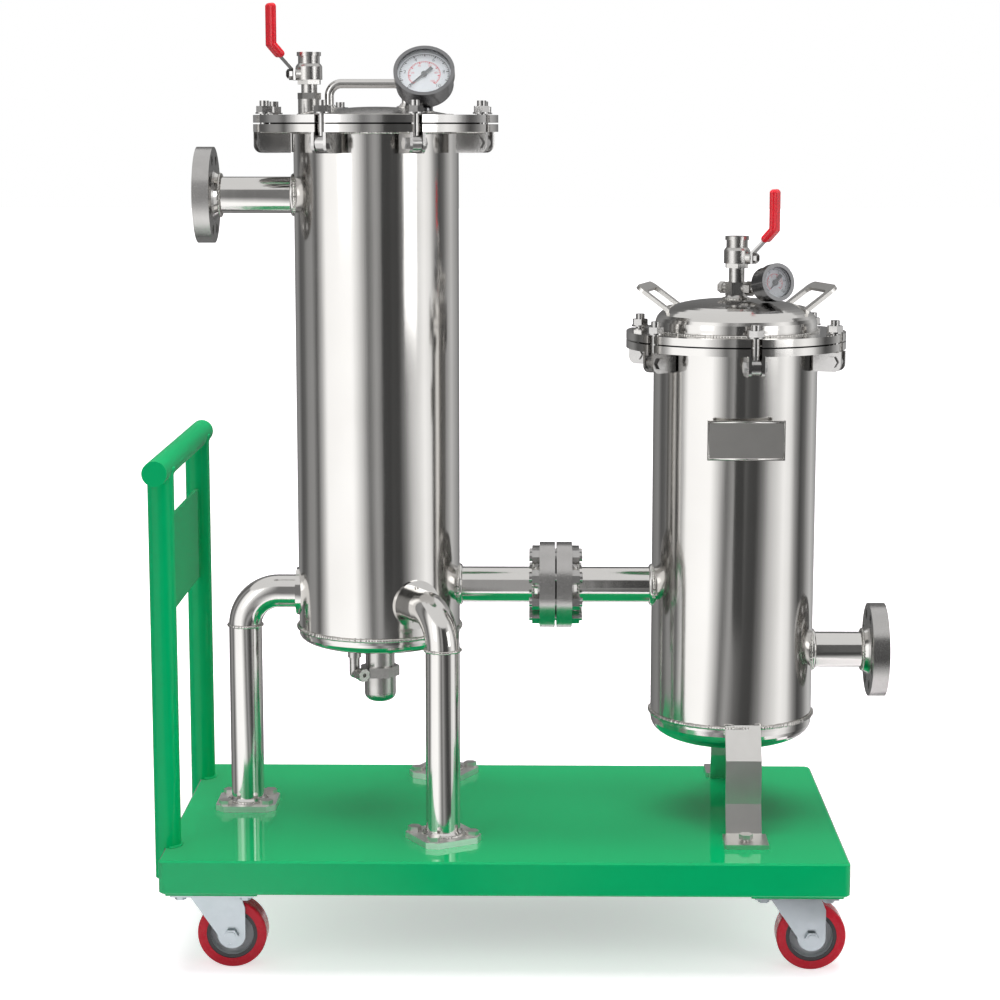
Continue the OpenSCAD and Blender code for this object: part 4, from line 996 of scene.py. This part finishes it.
def print_scale(matrix, radius, look):
    verts, faces = scale_bars(matrix, radius, radius * look["ring"], LONG_STEP, look["ticks"])
    more_verts, more_faces = arc_band(matrix, radius * look["ring"], radius * RING_W)
    shift = len(verts)
    verts += more_verts
    faces += [tuple(i + shift for i in face) for face in more_faces]
    for i in range(0, SCALE_TOP + 1, NUMBER_STEP):
        angle = math.radians(SCALE_START - SCALE_SWEEP * i / SCALE_TOP)
        digits, digit_faces = number_mesh(str(i * look["factor"]), radius * look["size"])
        reach = look["numbers"]
        x, y = math.cos(angle) * radius * reach, math.sin(angle) * radius * reach
        centre = Vector((x, y, PRINT_Z))
        shift = len(verts)
        verts += [matrix @ (centre + v) for v in digits]
        faces += [tuple(k + shift for k in face) for face in digit_faces]
    return verts, faces


for name, dial in DIALS.items():
    matrix = dial_frame(dial["joint"])
    for colour, look, finish in (("black", BLACK, "black_paint"), ("red", RED, "red_print")):
        verts, faces = print_scale(matrix, dial["radius"], look)
        add_piece(f"{name}_dial_{colour}_scale", verts, faces, finish, "skid", False)
print("dials printed")

# %% [markdown]
# The studio starts with a pale floor that keeps the unit's soft shadow. Its white comes from its
# own glow, which only the camera and mirrors see, so it adds no light to the unit. Under the unit
# the glow is weaker: this is a painted shadow, and the real shadow shows on top of it. The floor's
# colour and its glow under the unit are tinted pink, painted light that cancels the green the deck throws down.

# %% Floor
SHADE_X, SHADE_Y = 0.46, 0.26
FLOOR_R = 30.0


def stage_piece(name, verts, faces, material):
    mesh = bpy.data.meshes.new(name)
    mesh.from_pydata(verts, [], faces)
    mesh.materials.append(material)
    piece = bpy.data.objects.new(name, mesh)
    bpy.context.scene.collection.objects.link(piece)
    return piece


def seen_directly(wire):
    camera_ray = wire.make("ShaderNodeLightPath")
    node = camera_ray.socket.node
    glossy = Wire(wire.tree, node.outputs["Is Glossy Ray"])
    through = Wire(wire.tree, node.outputs["Is Transmission Ray"])
    return wire.math("MAXIMUM", wire.math("MAXIMUM", camera_ray, glossy), through)


def floor_finish():
    material, wire, shader = new_finish("studio_floor", Roughness=0.9, Emission_Strength=1.0)
    # pinkish floor colour: painted light that cancels the green light bounced from the deck
    shader.inputs["Base Color"].default_value = rgba(0.80, 0.73, 0.78)
    point = place(wire, (1 / SHADE_X, 1 / SHADE_Y, 0))
    twice = {0: point, 1: point}
    squared = wire.make("ShaderNodeVectorMath", {"operation": "MULTIPLY"}, twice)
    painted_shadow_reach = wire.make("ShaderNodeVectorMath", {"operation": "LENGTH"}, {0: squared}, 1)
    # weaker glow under the unit, shaped to the deck: a painted shadow, tinted pink to cancel the deck's green
    # bounce light
    near = painted_shadow_reach.smooth(-0.3, 0.75).mixed(rgba(0.43, 0.375, 0.415), rgba(0.62, 0.62, 0.62))
    distance = wire.make("ShaderNodeVectorMath", {"operation": "LENGTH"}, {0: place(wire)}, 1)
    white = distance.smooth(0.8, 2.4).mixed(near, rgba(1.1, 1.1, 1.1))
    glow = seen_directly(wire).mixed(rgba(0, 0, 0), white)
    wire.feed(shader.inputs["Emission Color"], glow)
    return material


def square(half, z):
    return [(-half, -half, z), (half, -half, z), (half, half, z), (-half, half, z)]


stage_piece("floor", square(FLOOR_R, 0.0), [(0, 1, 2, 3)], floor_finish())
print("floor ready")

# %% [markdown]
# Polished steel has no look of its own, it only shows what stands round it. A round wall of light
# and dark cards, outside the picture, decides where the shells are white and where they are dark.
# Each card below has its middle in degrees round the unit (0 is behind the camera, positive to
# the right) and how bright it looks. Between cards the wall fades from one to the next.

# %% Reflection cards
CARDS = [
    (-180, 0.17), (-168, 0.18), (-155, 0.26), (-141, 0.32), (-130, 0.12), (-120, 0.16),
    (-110, 0.36), (-99, 0.40), (-90, 0.12), (-80, 0.70), (-72, 1.45), (-34, 1.55), (-20, 0.75),
    (-11, 0.18), (-1, 0.50), (10, 0.20), (20, 0.09), (31, 0.07), (41, 0.30), (50, 0.72),
    (62, 1.05), (71, 1.35), (81, 1.15), (90, 0.42), (100, 0.08), (110, 0.18), (122, 0.52),
    (131, 0.72), (142, 0.52), (155, 0.36), (167, 0.20), (180, 0.17),
]


def card_finish():
    material, wire, shader = new_finish("reflection_cards")
    point = wire.make("ShaderNodeTexCoord", out=3)
    x = axis_of(wire, point, 0)
    y = axis_of(wire, point, 1)
    turn = wire.math("ARCTAN2", x, y * -1.0) / (2 * math.pi) + 0.5
    stops = [((angle + 180) / 360, float(shade)) for angle, shade in CARDS]
    shade = wire.make("ShaderNodeValToRGB", {"stops": stops}, {0: turn})
    glow = wire.make("ShaderNodeEmission", None, {"Color": shade, "Strength": 1.0})
    wire.tree.links.new(glow.socket, wire.tree.nodes["Material Output"].inputs[0])
    return material


print(len(CARDS), "cards, brightest", max(shade for _, shade in CARDS))

# %% [markdown]
# The wall stands well clear of the unit. An apron on the floor carries the same cards inward to
# just outside the deck, because the shells also mirror the floor. Only mirrors see either: they
# cast no light and no shadow, and the camera looks through them.

# %% Reflection wall and apron
WALL_R = 5.0
WALL_H = 4.5
APRON_R = 0.57
APRON_Z = 0.004
SEGMENTS = 96


def round_edge(radius, z):
    turns = [2 * math.pi * i / SEGMENTS for i in range(SEGMENTS)]
    return [(radius * math.cos(t), radius * math.sin(t), z) for t in turns]


def for_reflections_only(piece):
    piece.visible_camera = False
    piece.visible_diffuse = False
    piece.visible_transmission = False
    piece.visible_shadow = False


cards = card_finish()
wall = round_edge(WALL_R, 0.0) + round_edge(WALL_R, WALL_H)
apron = round_edge(APRON_R, APRON_Z) + round_edge(WALL_R, APRON_Z)
belt = []
for i in range(SEGMENTS):
    ahead = (i + 1) % SEGMENTS
    belt.append((i, ahead, SEGMENTS + ahead, SEGMENTS + i))
for_reflections_only(stage_piece("reflection_wall", wall, belt, cards))
for_reflections_only(stage_piece("reflection_apron", apron, belt, cards))
print("wall and apron of", SEGMENTS, "segments")

# %% [markdown]
# A pale card closes the wall above, and lids and domes mirror it. The dark flag stands in front of
# the short vessel, to its right: a photographer sets one there to darken a band of the shell.

# %% A plain ceiling card and a dark flag
CEILING_HALF = 5
CEILING_SHADE = 0.95
FLAG_Y = -2.0
FLAG_LOW, FLAG_HIGH = 0.01, 1.9
FLAG_SHADE = 0.07


def plain_card(name, corners, shade):
    material, wire, shader = new_finish(name)
    grey = rgba(shade, shade, shade)
    glow = wire.make("ShaderNodeEmission", None, {"Color": grey, "Strength": 1.0})
    wire.tree.links.new(glow.socket, wire.tree.nodes["Material Output"].inputs[0])
    for_reflections_only(stage_piece(name, corners, [(0, 1, 2, 3)], material))


plain_card("ceiling_card", square(CEILING_HALF, WALL_H), CEILING_SHADE)
left, right = bag_axis.x - 0.14, bag_axis.x + 0.34
flag = [(left, FLAG_Y, FLAG_LOW), (right, FLAG_Y, FLAG_LOW),
        (right, FLAG_Y, FLAG_HIGH), (left, FLAG_Y, FLAG_HIGH)]
plain_card("dark_flag", flag, FLAG_SHADE)
print("ceiling and flag ready")

# %% [markdown]
# The world is plain white where the camera and mirrors see it, and gives the unit a weaker, even
# light. Three soft lamps shape it. The lamp above would bleach the lids, so mirrors don't show it.
# Mirrors leave out the green handle too: the photograph's shells show next to nothing of it.

# %% World and lamps
WORLD_LIGHT = 0.38
world = bpy.data.worlds.new("studio")
bpy.context.scene.world = world
world.use_nodes = True
sky = Wire(world.node_tree)
background = world.node_tree.nodes["Background"]
unseen = 1 - seen_directly(sky)
sky.feed(background.inputs["Strength"], 1 - unseen * (1 - WORLD_LIGHT))
background.inputs["Color"].default_value = rgba(1, 1, 1)


def lamp(name, place_at, aim, size, power):
    data = bpy.data.lights.new(name, "AREA")
    data.shape = "RECTANGLE"
    data.size, data.size_y = size
    data.energy = power
    light = bpy.data.objects.new(name, data)
    light.location = place_at
    light.rotation_euler = (Vector(aim) - Vector(place_at)).to_track_quat("-Z", "Y").to_euler()
    light.visible_camera = False
    bpy.context.scene.collection.objects.link(light)
    return light


lamp("key", (-2.4, -2.6, 1.7), (0, 0, 0.4), (1.2, 1.8), 7)
lamp("fill", (2.6, -2.3, 1.4), (-0.4, 0, 0.5), (1.2, 1.8), 14)
top_lamp = lamp("top", (0, 0.2, 3.4), (0, 0, 0), (3.0, 3.0), 122)
for hidden in (top_lamp, frame["nodes"]["push_handle"], bpy.data.objects["painted_welds"]):
    hidden.visible_glossy = False

# %% [markdown]
# The photograph is taken from a little above the middle of the unit, almost square on, with a long
# lens. These values come from matching the deck's corners, the rims and the feet.

# %% Camera
PHOTO_PX = 1000
FOCAL_PX = 2415.0
CAMERA_AT = (0.0112, -3.2100, 1.0802)
CAMERA_PITCH = math.radians(8.742)
CAMERA_YAW = math.radians(0.876)
camera_data = bpy.data.cameras.new("camera")
camera_data.sensor_width = 36.0
camera_data.lens = camera_data.sensor_width * FOCAL_PX / PHOTO_PX
camera_data.clip_start = 0.05
camera_data.clip_end = 60.0
camera = bpy.data.objects.new("camera", camera_data)
camera.location = CAMERA_AT
camera.rotation_euler = (math.pi / 2 - CAMERA_PITCH, 0.0, CAMERA_YAW)
bpy.context.scene.collection.objects.link(camera)
bpy.context.scene.camera = camera
bpy.context.scene.view_settings.view_transform = "Standard"
print("lens", round(camera_data.lens, 1), "mm")
